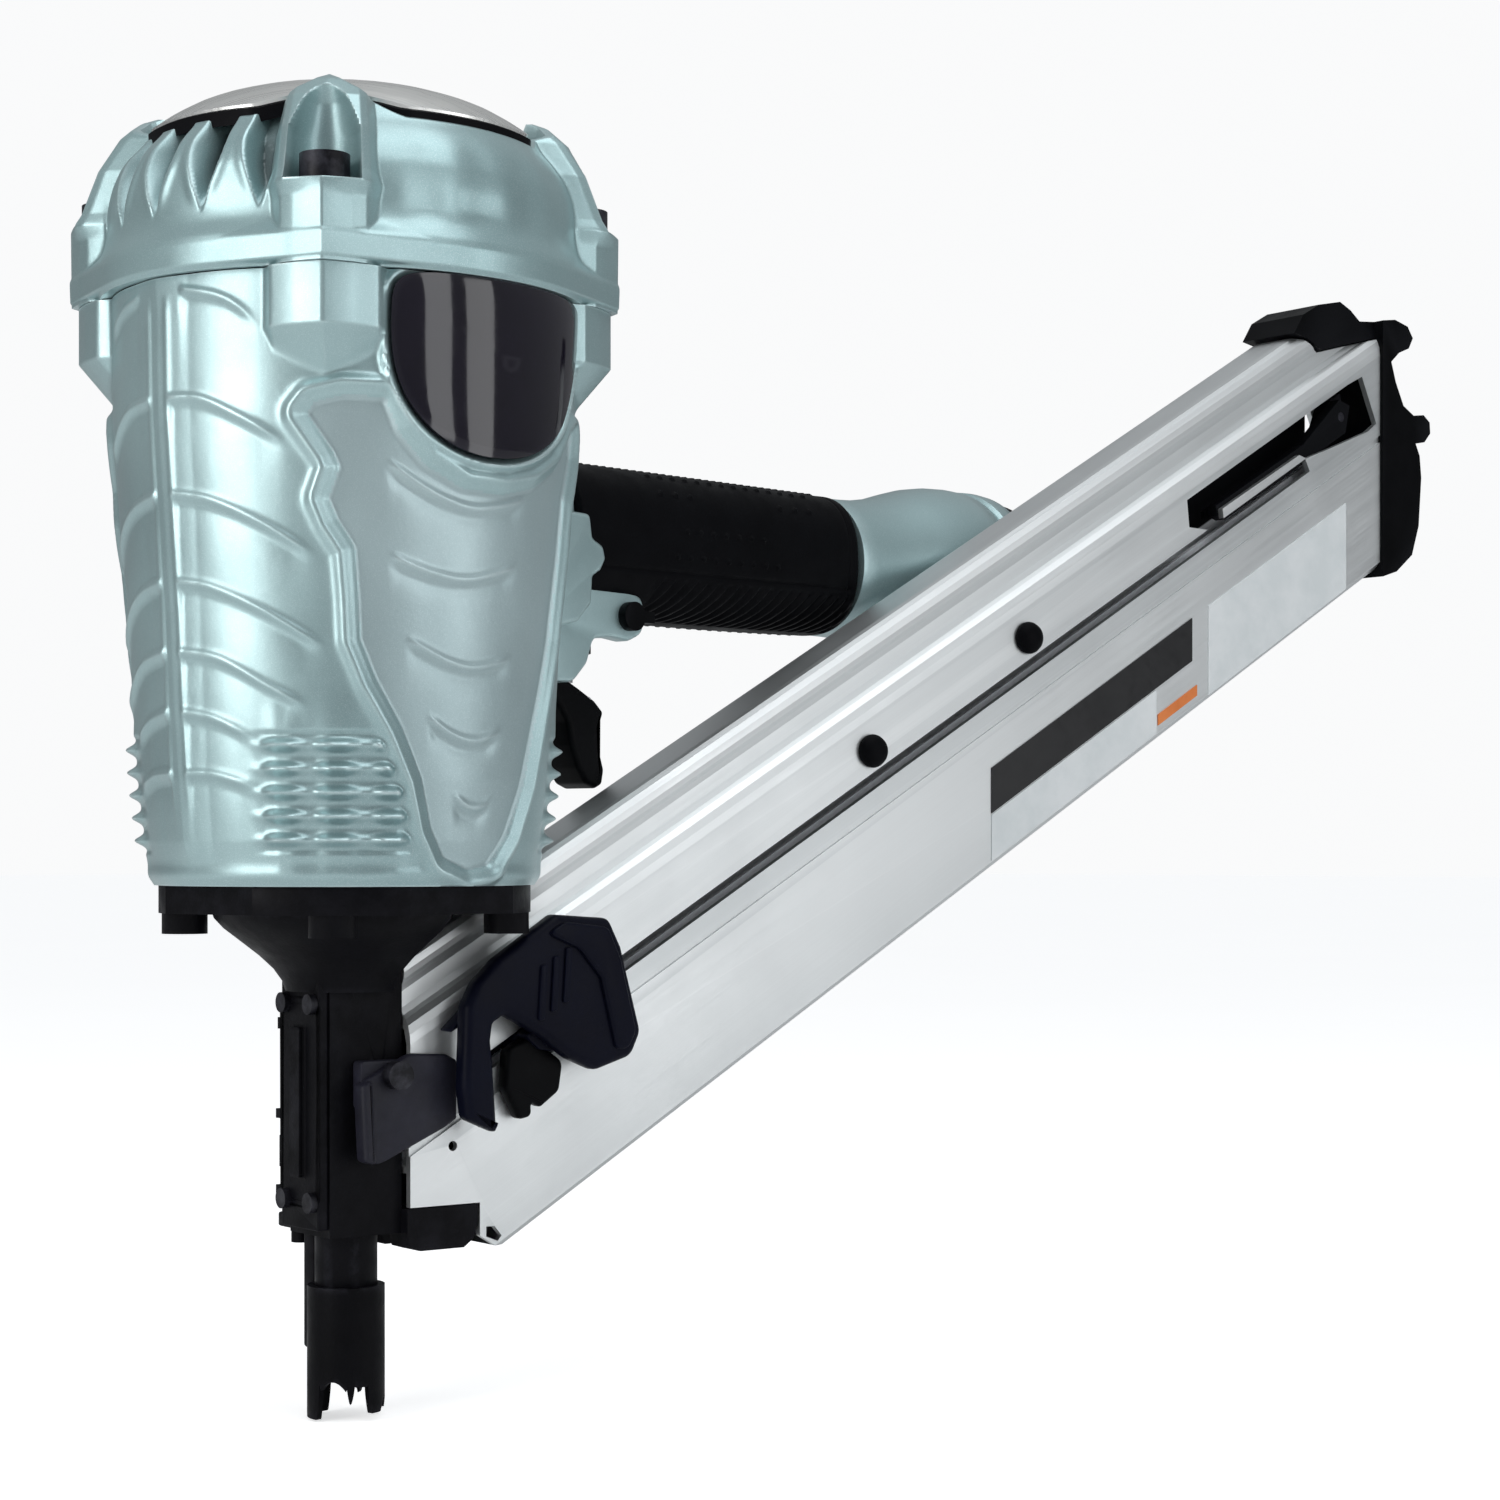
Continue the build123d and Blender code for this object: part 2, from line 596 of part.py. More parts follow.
@piece
def magazine_body():
    mag = rail_run(mirrored(HALF_SECTION))
    mag -= rail_run(mirrored(HALF_HOLLOW))
    mag -= rail_run(mirrored(HALF_RAIL_HOLLOW))
    # partition ribs that locate the nail guides
    for w in (33.0, 48.5):
        for t in (6.2, -12.5):
            mag += RAIL * box(*RAIL_SPAN, w, w + 1.6, t, t + 6.3)
    mag -= RAIL * box(66.0, 432.0, 58.6, 63.0, 5, 20)           # pusher slot
    mag -= RAIL * box(*RAIL_SPAN, 52.3, 54.3, 13.2, 15)         # groove line
    mag &= SIDE * box(MAG_L0, MAG_L1, 0, 420, *THROUGH)
    mag -= SIDE * prism(FRONT_NOTCH, *THROUGH)
    mag -= SIDE * prism(WINDOW, 0, 20)                          # near wall only
    mag -= SIDE * prism(OPEN_END, -20, 1)
    mag -= SIDE * prism(LOBE_CUT, *THROUGH)
    mag -= SIDE * prism(CORNER_NICK, 5, 20)
    mag -= SIDE * cyl(1.3, 9, 19, 23.4, 68.7)
    for place in BRACKET_BOLTS:
        mag -= SIDE * cyl(M4_CLEAR, -29, 1, *place)
    for place in BUTTONS:
        mag -= SIDE * cyl(2.1, 9, 17, *place)
    return mag


@piece
def nail_guides():
    guides = []
    for t0, t1 in ((4.3, 6.0), (-6.0, -4.3)):
        guide = RAIL * box(*RAIL_SPAN, 24, 76, t0, t1)
        guide = guide & (SIDE * box(MAG_L0 + 0.3, MAG_L1 - 16, 0, 420, *THROUGH))
        guides.append(guide - SIDE * prism(FRONT_NOTCH, *THROUGH))
    guides[0] -= SIDE * prism(WINDOW, -1, 20)
    guides[0] -= RAIL * box(60.0, 440.0, 58.0, 63.6, 0, 20)
    return guides


# ---------------------------------------------------------------- magazine tail
TAIL_FOOT = MAG_W0 / cos(radians(SLOPE)) + MAG_L1 * tan(radians(SLOPE))   # lower edge height
TAIL_BOLTS = [(243.6, 0), (268.0, 0)]                   # (height, sideways)
# side outlines, (run, height)
TAIL = [(MAG_L1 + 0.1, TAIL_FOOT - 2.6), (385.2, TAIL_FOOT - 0.6), (392.8, 242.6),
        (396.1, 252.4), (397.4, 268.5), (396.6, 275.7), (394.6, 279.6), (399.0, 280.4),
        (401.9, 283.6), (401.6, 287.2), (398.6, 289.4), (393.6, 288.8), (388.6, 291.6),
        (384.8, 299.0), (382.6, 305.6), (386.4, 308.9), (391.2, 310.8), (393.2, 314.4),
        (390.6, 318.0), (384.4, 319.6), (MAG_L1 + 0.1, 318.8)]
TAIL_LOBE = [(340.4, 311.3), (346.4, 310.2), (353.4, 307.0), (MAG_L1 + 0.2, 313.4),
             (MAG_L1 + 0.2, 318.8), (371.4, 318.2), (367.0, 321.4), (362.0, 323.6),
             (352.0, 321.6), (344.6, 317.6)]


@piece
def magazine_tail():
    tail = SIDE * prism(TAIL, -15.2, 15.2)
    tail += SIDE * prism(TAIL_LOBE, -11.4, 11.4)
    tail -= SIDE * box(384, 390, 246, 276, -9.5, 9.5)
    for place in TAIL_BOLTS:
        tail -= SIDE * cyl_x(2.1, MAG_L1 - 13, MAG_L1 + 37, *place)
        tail -= SIDE * cyl_x(4.4, MAG_L1 + 12, MAG_L1 + 34, *place)
    return tail


@piece
def tail_nuts():
    nuts = []
    for z, t in TAIL_BOLTS:
        nut = SIDE * box(MAG_L1 - 12, MAG_L1 - 0.2, z - 4.5, z + 4.5, -5.8, 5.8)
        nut = nut & (RAIL * box(*RAIL_SPAN, MAG_W0 + 2.1, 77.0, -5.8, 5.8))
        nuts.append(nut - SIDE * cyl_x(2.0, MAG_L1 - 27, MAG_L1 + 13, z, t))
    return nuts


@piece
def tail_bolts():
    return [SIDE * (cyl_x(M4_SHANK, MAG_L1 - 12.5, MAG_L1 + 12.5, *place)
                    + cyl_x(4.0, MAG_L1 + 12.2, MAG_L1 + 15.2, *place))
            for place in TAIL_BOLTS]


# ---------------------------------------------------------------- magazine mountings
CLAMP = [(-3.0, 64), (-4.6, 86.6), (9.2, 93.4), (20, 93), (23, 91), (23, 76), (19.6, 73.9)]


@piece
def magazine_clamp():
    clamp = SIDE * (prism(CLAMP, MAG_T + 0.1, MAG_T + 2.6)
                    + box(-4.0, 10.2, 80, 92, NOSE_HALF + 0.1, MAG_T + 1))
    return clamp - SIDE * cyl(M4_CLEAR, 7, 21, *CLAMP_BOLT)


@piece
def clamp_bolt():
    return SIDE * (cyl(M4_SHANK, 7.1, 17.7, *CLAMP_BOLT) + cyl(3.6, 16.8, 20.4, *CLAMP_BOLT))


@piece
def handle_bracket():
    """Block from the magazine's far side, hollowed to the handle's flare."""
    flare = [(170, 0), (170, 15.5), (183.9, 20.3)] + [(x, r + 0.1) for x, r in FLARE[1:]]
    block = SIDE * box(BRACKET_RUN - 14, BRACKET_RUN + 14, BRACKET_Z - 15, BRACKET_Z + 9,
                       -31, -MAG_T - 0.1)
    block = block - lathe_handle(flare + [(END_X, 0)]) - cyl_x(29, END_X, 300, 0, HANDLE_Z)
    for place in BRACKET_BOLTS:
        block -= SIDE * cyl(M4_CLEAR, -40, 0, *place)
    return block


@piece
def bracket_bolts():
    return [SIDE * (cyl(M4_SHANK, -29.5, -11.5, *place) + cyl(3.6, -11.9, -7.9, *place))
            for place in BRACKET_BOLTS]


@piece
def rubber_buttons():
    return [SIDE * (cyl(2.0, 10.5, 14.1, *place) + cyl(4.8, 14.1, 18.3, *place))
            for place in BUTTONS]


def sticker(u0, u1, w0, w1):
    """Label on the near wall, spanning w0 to w1 across the rail, with upright ends."""
    lean = (w1 - w0) * tan(radians(SLOPE))
    corners = [(u0, w0), (u1, w0), (u1 + lean, w1), (u0 + lean, w1)]
    return RAIL * prism(corners, MAG_T + 0.02, MAG_T + 0.35)


@piece
def label_dark():
    return sticker(258.0, 354.0, 30.8, 42.4)


@piece
def label_light():
    return [sticker(355.0, 428.0, 18.2, 42.4), sticker(251.0, 329.0, 18.6, 30.4)]


@piece
def label_stripe():
    return sticker(331.0, 350.5, 20.5, 23.4)


# ---------------------------------------------------------------- nail stopper, in the window
STOPPER_PIVOT = (362.0, 286.0)      # (run, height), as are the outlines
STOPPER = [(305.0, 250.0), (308.0, 249.0), (346.0, 270.5), (364.0, 281.0), (366.0, 290.0),
           (361.0, 291.5), (344.0, 275.5), (304.0, 253.0)]
STOPPER_FRAME = [(356.5, 281.0), (367.4, 287.6), (366.0, 294.5), (361.0, 291.7)]


@piece
def nail_stopper():
    return SIDE * prism(STOPPER, 7.9, 11.9) - SIDE * cyl(1.55, 4, 16, *STOPPER_PIVOT)


@piece
def stopper_pin():
    return SIDE * cyl(1.5, 2.2, 11.8, *STOPPER_PIVOT)


@piece
def stopper_frame():
    return SIDE * (prism(STOPPER_FRAME, 2.0, 7.8) - cyl(1.55, -4, 16, *STOPPER_PIVOT))


# ---------------------------------------------------------------- nail pusher
# outlines, (along the rail, across it)
PUSHER_HOOK = [(71.4, 82.0), (78.5, 85.2), (102.2, 86.7), (112, 85.0), (118.8, 78),
               (116.8, 66.4), (112.9, 45.4), (108.1, 42.2), (94.6, 45.5), (84.6, 56.3),
               (80.4, 67.4), (76, 66.5), (69.5, 57.6), (62.1, 46.6), (55.5, 56.1), (62, 70)]
PUSHER_BASE = [(66, 76), (104, 84), (112, 80), (110, 52), (96, 50), (84, 62)]
PUSHER_CATCH = [(73.0, 44.0), (87.0, 44.6), (91.5, 50.5), (88.0, 56.0), (78.0, 58.4),
                (73.5, 54.0)]
SHOE_FIN = [(100, 40), (103, 40), (122, 52), (122, 62), (100, 62)]
# clearance over the strip guide, (run, height)
SHOE_CUT = [(0, 0), (70, 0), (70, 45), (37, 45), (32, 54.2), (0, 54.2)]
DRUM = (111.0, 48.0)


@piece
def pusher_grip():
    grip = RAIL * prism(PUSHER_HOOK, 16.6, 25.5) + RAIL * prism(PUSHER_BASE, 14.4, 16.8)
    grip += RAIL * box(84, 104, 59.0, 62.6, 7.0, 14.6)
    return grip - RAIL * box(30.0, 150.0, 63.2, 75.0, 14.0, 18.9)   # clears the buttons


@piece
def pusher_catch():
    return RAIL * prism(PUSHER_CATCH, 14.35, 16.4)


@piece
def pusher_shoe():
    shoe = (RAIL * box(*RAIL_SPAN, 26.0, 81.0, -3.9, 3.9)) & (SIDE * box(26, 44, 0, 200, -5, 5))
    shoe -= SIDE * prism(SHOE_CUT, *THROUGH)
    shoe += RAIL * box(70, 118, 59.2, 62.4, -3.9, 6.9)
    return shoe + RAIL * prism(SHOE_FIN, -3.9, -3.2)


@piece
def spring_drum():
    return RAIL * tube(9.0, 2.1, -2.8, 2.8, *DRUM)


@piece
def drum_pin():
    return RAIL * cyl(2.0, -3.15, 2.65, *DRUM)
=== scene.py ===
"""A nail gun standing upright on its nose.

The cylinder axis is world Z and the handle runs along +X. The magazine also leaves the nose
towards +X, turned a little towards -Y and rising. Meshes are worked out in millimetres and
written in metres. Angles round the cylinder count from -Y (0 degrees) towards +X (90).
"""

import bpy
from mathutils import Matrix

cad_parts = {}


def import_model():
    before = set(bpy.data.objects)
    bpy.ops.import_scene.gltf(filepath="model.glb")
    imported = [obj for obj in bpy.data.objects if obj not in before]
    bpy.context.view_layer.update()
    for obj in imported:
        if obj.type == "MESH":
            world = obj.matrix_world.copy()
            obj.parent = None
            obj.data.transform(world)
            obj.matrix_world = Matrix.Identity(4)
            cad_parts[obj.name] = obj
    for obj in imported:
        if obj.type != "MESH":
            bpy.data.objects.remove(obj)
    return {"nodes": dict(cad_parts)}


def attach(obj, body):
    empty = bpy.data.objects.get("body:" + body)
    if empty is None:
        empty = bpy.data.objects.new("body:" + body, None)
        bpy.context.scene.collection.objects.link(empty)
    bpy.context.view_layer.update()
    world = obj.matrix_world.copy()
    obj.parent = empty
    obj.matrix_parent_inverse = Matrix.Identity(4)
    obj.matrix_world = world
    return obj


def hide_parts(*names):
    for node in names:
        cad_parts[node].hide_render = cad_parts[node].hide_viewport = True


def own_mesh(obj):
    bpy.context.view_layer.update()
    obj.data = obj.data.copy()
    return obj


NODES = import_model()["nodes"]

import math

import bmesh
import bpy
import numpy as np
from mathutils import Vector

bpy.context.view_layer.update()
SCENE = bpy.context.scene

# ---------------------------------------------------------------- frames
MAGAZINE_TURN = math.radians(11.0)       # from +X towards -Y
MAGAZINE_SLOPE = math.radians(30.0)      # above the horizontal
ORIGIN = np.array([0.0, 0.0, -12.0])     # tip of the nose teeth

UP = np.array([0.0, 0.0, 1.0])
RUN = np.array([math.cos(MAGAZINE_TURN), -math.sin(MAGAZINE_TURN), 0.0])
SIDE = np.array([-math.sin(MAGAZINE_TURN), -math.cos(MAGAZINE_TURN), 0.0])   # roughly -Y
ALONG = RUN * math.cos(MAGAZINE_SLOPE) + UP * math.sin(MAGAZINE_SLOPE)
ACROSS = -RUN * math.sin(MAGAZINE_SLOPE) + UP * math.cos(MAGAZINE_SLOPE)

# each frame is an origin and three axes
WORLD = (0.0, np.eye(3))
UPRIGHT = (ORIGIN, (RUN, UP, SIDE))      # run, height over the tooth tips, sideways
RAIL = (ORIGIN, (ALONG, ACROSS, SIDE))   # along the magazine, across it, sideways
NOSE = (0.0, (RUN, -SIDE, UP))           # run, far side, world z


# ---------------------------------------------------------------- mesh helpers
def make(name, mesh, body, materials, replaces=None, smooth=40, frame=WORLD,
         face_materials=None):
    points, faces = mesh
    points = np.asarray(points, float)
    origin, axes = frame
    placed = (origin + points[:, 0:1] * axes[0] + points[:, 1:2] * axes[1]
              + points[:, 2:3] * axes[2]) * 0.001
    data = bpy.data.meshes.new(name)
    data.from_pydata(placed.tolist(), [], [tuple(int(i) for i in face) for face in faces])
    data.validate(clean_customdata=False)
    data.update()
    ob = bpy.data.objects.new(name, data)
    SCENE.collection.objects.link(ob)
    for material in materials:
        data.materials.append(material)
    if face_materials is not None:
        data.polygons.foreach_set("material_index", face_materials)
    shade(data, math.radians(smooth))
    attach(ob, body)
    if replaces:
        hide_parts(replaces)
    return ob


def shade(data, sharp_angle):
    """Point the normals outwards and shade smooth, except over edges above the angle."""
    bm = bmesh.new()
    bm.from_mesh(data)
    bmesh.ops.recalc_face_normals(bm, faces=bm.faces)
    for face in bm.faces:
        face.smooth = True
    for edge in bm.edges:
        if len(edge.link_faces) == 2 and edge.calc_face_angle(0) > sharp_angle:
            edge.smooth = False
    bm.to_mesh(data)
    bm.free()


def join(parts):
    """Several (points, faces) as one."""
    points, faces, start = [], [], 0
    for part_points, part_faces in parts:
        points.append(np.asarray(part_points, float))
        faces += [tuple(i + start for i in face) for face in part_faces]
        start += len(part_points)
    return np.concatenate(points), faces


def grid(points, close_u=False, close_v=False):
    """Quads over an array of points (u, v, 3)."""
    nu, nv = points.shape[:2]
    faces = []
    for i in range(nu if close_u else nu - 1):
        i2 = (i + 1) % nu
        for j in range(nv if close_v else nv - 1):
            j2 = (j + 1) % nv
            faces.append((i * nv + j, i2 * nv + j, i2 * nv + j2, i * nv + j2))
    return points.reshape(-1, 3), faces


def closed_grid(rows):
    """Torus-like skin: rows of points that each run once round the piece."""
    return grid(np.array(rows).transpose(1, 0, 2), close_u=True, close_v=True)


def ring_faces(rings, n, start_cap=True):
    """Quads between rings of n points, with the end rings capped."""
    faces = []
    for i in range(rings - 1):
        for j in range(n):
            j2 = (j + 1) % n
            faces.append((i * n + j, i * n + j2, (i + 1) * n + j2, (i + 1) * n + j))
    if start_cap:
        faces.append(tuple(range(n))[::-1])
    faces.append(tuple((rings - 1) * n + j for j in range(n)))
    return faces


def polar(radius, degrees, z):
    """Points round the cylinder axis."""
    a = np.radians(degrees)
    return np.stack(np.broadcast_arrays(radius * np.sin(a), -radius * np.cos(a), z), -1)


def rounded(points, steps, radius=None):
    """Closed 2-D polygon with rounded corners; a point may carry its own radius third."""
    out, count = [], len(points)
    for i in range(count):
        before, corner, after = (np.array(points[(i + k) % count][:2], float)
                                 for k in (-1, 0, 1))
        corner_radius = points[i][2] if len(points[i]) > 2 else radius
        back, ahead = before - corner, after - corner
        back_length, ahead_length = np.linalg.norm(back), np.linalg.norm(ahead)
        back, ahead = back / back_length, ahead / ahead_length
        angle = math.acos(max(-1, min(1, float(back @ ahead))))
        if angle > math.radians(176):        # as good as straight
            out.append(corner)
            continue
        reach = min(corner_radius / math.tan(angle / 2), 0.48 * back_length,
                    0.48 * ahead_length)
        start, end = corner + back * reach, corner + ahead * reach
        for k in range(steps + 1):
            t = k / steps
            out.append((1 - t) ** 2 * start + 2 * t * (1 - t) * corner + t * t * end)
    kept = [out[0]]
    for point in out[1:]:
        if np.linalg.norm(point - kept[-1]) > 1e-4:
            kept.append(point)
    if np.linalg.norm(kept[0] - kept[-1]) < 1e-4:
        kept.pop()
    return np.array(kept)


def inset(outline, distance):
    """Anticlockwise outline moved inwards."""
    edge = np.roll(outline, -1, 0) - outline
    edge /= np.maximum(np.linalg.norm(edge, axis=1, keepdims=True), 1e-9)
    normal = np.stack([-edge[:, 1], edge[:, 0]], 1)
    both = normal + np.roll(normal, 1, 0)
    return outline + 2 * both / np.maximum(np.sum(both * both, 1, keepdims=True), 0.3) * distance


def slab(outline, low, high, bevel, steps=3):
    """Closed 2-D outline as a solid from low to high (third axis), with rounded rims."""
    p = np.asarray(outline, float)
    x, y = p[:, 0], p[:, 1]
    if np.sum(x * np.roll(y, -1) - y * np.roll(x, -1)) < 0:      # clockwise
        p = p[::-1]
    lower, upper = [], []
    for k in range(steps + 1):
        a = math.pi / 2 * k / steps
        q = inset(p, bevel * (1 - math.sin(a)))
        lower.append(np.c_[q, np.full(len(q), low + bevel - bevel * math.cos(a))])
        q = inset(p, bevel * (1 - math.cos(a)))
        upper.append(np.c_[q, np.full(len(q), high - bevel + bevel * math.sin(a))])
    rings = lower + upper
    return np.concatenate(rings), ring_faces(len(rings), len(p))


def slab_y(outline, low, high, bevel, steps=3):
    """Slab with its outline in the first and third axes, thick along the second."""
    points, faces = slab(outline, low, high, bevel, steps)
    return points[:, [0, 2, 1]], faces


def signed_distance(points, polygon):
    """Distance to a closed polygon, negative inside."""
    distance = np.full(len(points), 1e9)
    inside = np.zeros(len(points), bool)
    x, y = points[:, 0], points[:, 1]
    for a, b in zip(polygon, np.roll(polygon, -1, 0)):
        ab = b - a
        t = np.clip(((points - a) @ ab) / max(ab @ ab, 1e-12), 0, 1)
        distance = np.minimum(distance, np.linalg.norm(points - a - t[:, None] * ab, axis=1))
        rise = ab[1] if abs(ab[1]) > 1e-12 else 1e-12
        inside ^= ((a[1] > y) != (b[1] > y)) & (x < a[0] + (y - a[1]) / rise * ab[0])
    return np.where(inside, -distance, distance)


def spline(points, steps, closed=True):
    """Catmull-Rom curve through 2-D points."""
    p, out = np.asarray(points, float), []
    m = len(p)
    for i in range(m if closed else m - 1):
        if closed:
            a, b, c, d = p[(i - 1) % m], p[i], p[(i + 1) % m], p[(i + 2) % m]
        else:
            a, b, c, d = p[max(i - 1, 0)], p[i], p[i + 1], p[min(i + 2, m - 1)]
        for k in range(steps):
            t = k / steps
            out.append(0.5 * ((2 * b) + (-a + c) * t + (2 * a - 5 * b + 4 * c - d) * t * t
                              + (-a + 3 * b - 3 * c + d) * t ** 3))
    if not closed:
        out.append(p[-1])
    return np.array(out)


def smoothstep(start, end, x):
    t = np.clip((x - start) / (end - start), 0, 1)
    return t * t * (3 - 2 * t)


def window(x, start, full, fall, end):
    """Rises from 0 to 1 between the first two places and falls between the last two."""
    return smoothstep(start, full, x) * (1 - smoothstep(fall, end, x))


def bell(x, width):
    return np.exp(-(x / width) ** 2)


def smooth_max(a, b, blend):
    h = np.clip(0.5 + 0.5 * (a - b) / blend, 0, 1)
    return b * (1 - h) + a * h + blend * h * (1 - h)


# ---------------------------------------------------------------- shader builder
class Shader:
    """Node builder for one material, in object coordinates (metres)."""
    SOCKETS = {"base": "Base Color", "rough": "Roughness", "metal": "Metallic",
               "normal": "Normal", "coat": "Coat Weight", "coat_rough": "Coat Roughness",
               "specular": "Specular IOR Level"}

    def __init__(self, material):
        self.material = material
        material.use_nodes = True
        self.tree = material.node_tree
        self.surface = next(n for n in self.tree.nodes if n.type == "BSDF_PRINCIPLED")
        self.place = self.node("TexCoord").outputs["Object"]

    def node(self, kind):
        return self.tree.nodes.new("ShaderNode" + kind)

    def feed(self, value, socket):
        """Set a socket to a number or an RGB colour, or link an output to it."""
        if isinstance(value, (int, float)):
            socket.default_value = value
        elif isinstance(value, tuple):
            socket.default_value = (*value, 1)
        else:
            self.tree.links.new(value, socket)

    def dot(self, axis):
        node = self.node("VectorMath")
        node.operation = "DOT_PRODUCT"
        self.feed(self.place, node.inputs[0])
        node.inputs[1].default_value = tuple(axis)
        return node.outputs["Value"]

    def mapped(self, axes, scale):
        """Coordinates along the given axes, or along the object's own, then scaled."""
        vector = self.place
        if axes is not None:
            parts = [self.dot(axis) for axis in axes]
            combine = self.node("CombineXYZ")
            for part, socket in zip(parts, combine.inputs):
                self.feed(part, socket)
            vector = combine.outputs[0]
        mapping = self.node("Mapping")
        mapping.inputs["Scale"].default_value = scale
        self.feed(vector, mapping.inputs["Vector"])
        return mapping.outputs[0]

    def noise(self, scale, detail, rough, vector=None):
        node = self.node("TexNoise")
        node.inputs["Scale"].default_value = scale
        node.inputs["Detail"].default_value = detail
        node.inputs["Roughness"].default_value = rough
        self.feed(self.place if vector is None else vector, node.inputs["Vector"])
        return node.outputs[0]

    def remap(self, value, over, to=(0.0, 1.0)):
        node = self.node("MapRange")
        self.feed(value, node.inputs["Value"])
        for name, number in zip(("From Min", "From Max", "To Min", "To Max"), over + to):
            node.inputs[name].default_value = number
        return node.outputs[0]

    def spots(self, scale, detail, rough, over, to=(0.0, 1.0)):
        """Noise stretched from one range to another."""
        return self.remap(self.noise(scale, detail, rough), over, to)

    def mix(self, factor, a, b):
        node = self.node("Mix")
        node.data_type = "RGBA"
        for value, index in ((factor, 0), (a, 6), (b, 7)):
            self.feed(value, node.inputs[index])
        return node.outputs[2]

    def math(self, operation, a, b=0.0):
        node = self.node("Math")
        node.operation = operation
        self.feed(a, node.inputs[0])
        self.feed(b, node.inputs[1])
        return node.outputs[0]

    def times(self, a, b):
        return self.math("MULTIPLY", a, b)

    def pointiness(self, over, to=(0.0, 1.0)):
        return self.remap(self.node("NewGeometry").outputs["Pointiness"], over, to)

    def edges(self, over):
        """1 on convex edges."""
        return self.pointiness(over)

    def hollows(self, over):
        """1 in concave corners."""
        return self.pointiness(over, to=(1.0, 0.0))

    def bump(self, height, strength, distance, under=None):
        node = self.node("Bump")
        node.inputs["Strength"].default_value = strength
        node.inputs["Distance"].default_value = distance
        self.feed(height, node.inputs["Height"])
        if under is not None:
            self.feed(under, node.inputs["Normal"])
        return node.outputs[0]

    def put(self, **values):
        for name, value in values.items():
            self.feed(value, self.surface.inputs[self.SOCKETS[name]])
        return self.material


def new_shader(name):
    return Shader(bpy.data.materials.new(name))


def scaled(colour, factor, extra=0.0):
    return tuple(min(1, c * factor + extra) for c in colour)


# ---------------------------------------------------------------- kinds of material
def painted_gill_shade(m):
    """Painted shade: 1 deep inside the exhaust gills of the head cap (metres)."""
    separate = m.node("SeparateXYZ")
    m.feed(m.place, separate.inputs[0])
    x, y, z = separate.outputs
    radius = m.math("SQRT", m.math("ADD", m.times(x, x), m.times(y, y)))
    # the wall without gills: 60.5 mm at z = 285, falling off with the square of the height
    rise = m.math("SUBTRACT", z, 0.285)
    wall = m.math("SUBTRACT", 0.0605, m.times(m.times(rise, rise), 15.5))
    gill_shade = m.times(m.remap(m.math("SUBTRACT", wall, radius), over=(0.0028, 0.0072)),
                   m.remap(m.math("ABSOLUTE", y), over=(0.0345, 0.0325)))
    gill_shade = m.times(gill_shade, m.remap(x, over=(-0.020, -0.024)))
    return m.times(gill_shade, m.remap(z, over=(0.3085, 0.3065)))


def paint(name, colour, dark, light, metal, rough, grain=0.12, shade_gills=False):
    """Metallic paint on cast metal, with flakes and worn edges."""
    m = new_shader(name)
    fine = m.noise(scale=900.0, detail=2.0, rough=0.6)
    base = m.mix(m.spots(scale=9.0, detail=3.0, rough=0.5, over=(0.35, 0.65)), dark, colour)
    flakes = m.spots(scale=5200.0, detail=1.0, rough=0.5, over=(0.52, 0.75), to=(0.0, 0.5))
    base = m.mix(flakes, base, light)
    # painted shade: the paint turns darker in concave corners
    base = m.mix(m.times(m.hollows(over=(0.42, 0.495)), 0.55), base, scaled(dark, 0.45))
    wear = m.times(m.edges(over=(0.515, 0.60)),
                   m.spots(scale=60.0, detail=5.0, rough=0.7, over=(0.40, 0.62),
                           to=(0.25, 0.9)))
    base = m.mix(wear, base, light)
    if shade_gills:
        # painted shade: deep inside the cap's gills the paint turns near black and loses its
        # metal
        gill_shade = painted_gill_shade(m)
        base = m.mix(gill_shade, base, (0.0015, 0.0015, 0.0022))
        metal = m.times(m.math("SUBTRACT", 1.0, gill_shade), metal)
    broad = m.spots(scale=35.0, detail=5.0, rough=0.6, over=(0.3, 0.7),
                    to=(rough - 0.05, rough + 0.07))
    normal = m.bump(fine, strength=grain, distance=0.0002)
    normal = m.bump(m.noise(scale=240.0, detail=3.0, rough=0.5), strength=0.10,
                    distance=0.0004, under=normal)
    return m.put(base=base, rough=m.math("ADD", broad, m.times(fine, 0.05)), metal=metal,
                 normal=normal, coat=0.25, coat_rough=0.25)


def dark_cast(name, colour, worn, rough, specular, metal=0.0, grain=0.25):
    """Blackened steel with paler worn edges."""
    m = new_shader(name)
    base = m.mix(m.spots(scale=70.0, detail=5.0, rough=0.65, over=(0.35, 0.7)), colour,
                 scaled(colour, 1.9))
    wear = m.times(m.edges(over=(0.53, 0.66)),
                   m.spots(scale=140.0, detail=5.0, rough=0.7, over=(0.42, 0.66),
                           to=(0.0, 0.85)))
    base = m.mix(wear, base, worn)
    sheen = m.spots(scale=120.0, detail=5.0, rough=0.6, over=(0.3, 0.7),
                    to=(rough - 0.08, rough + 0.14))
    normal = m.bump(m.noise(scale=1300.0, detail=3.0, rough=0.6), strength=grain,
                    distance=0.0002)
    normal = m.bump(m.noise(scale=180.0, detail=4.0, rough=0.6), strength=0.18,
                    distance=0.0003, under=normal)
    return m.put(base=base, rough=sheen, metal=metal, normal=normal, specular=specular)


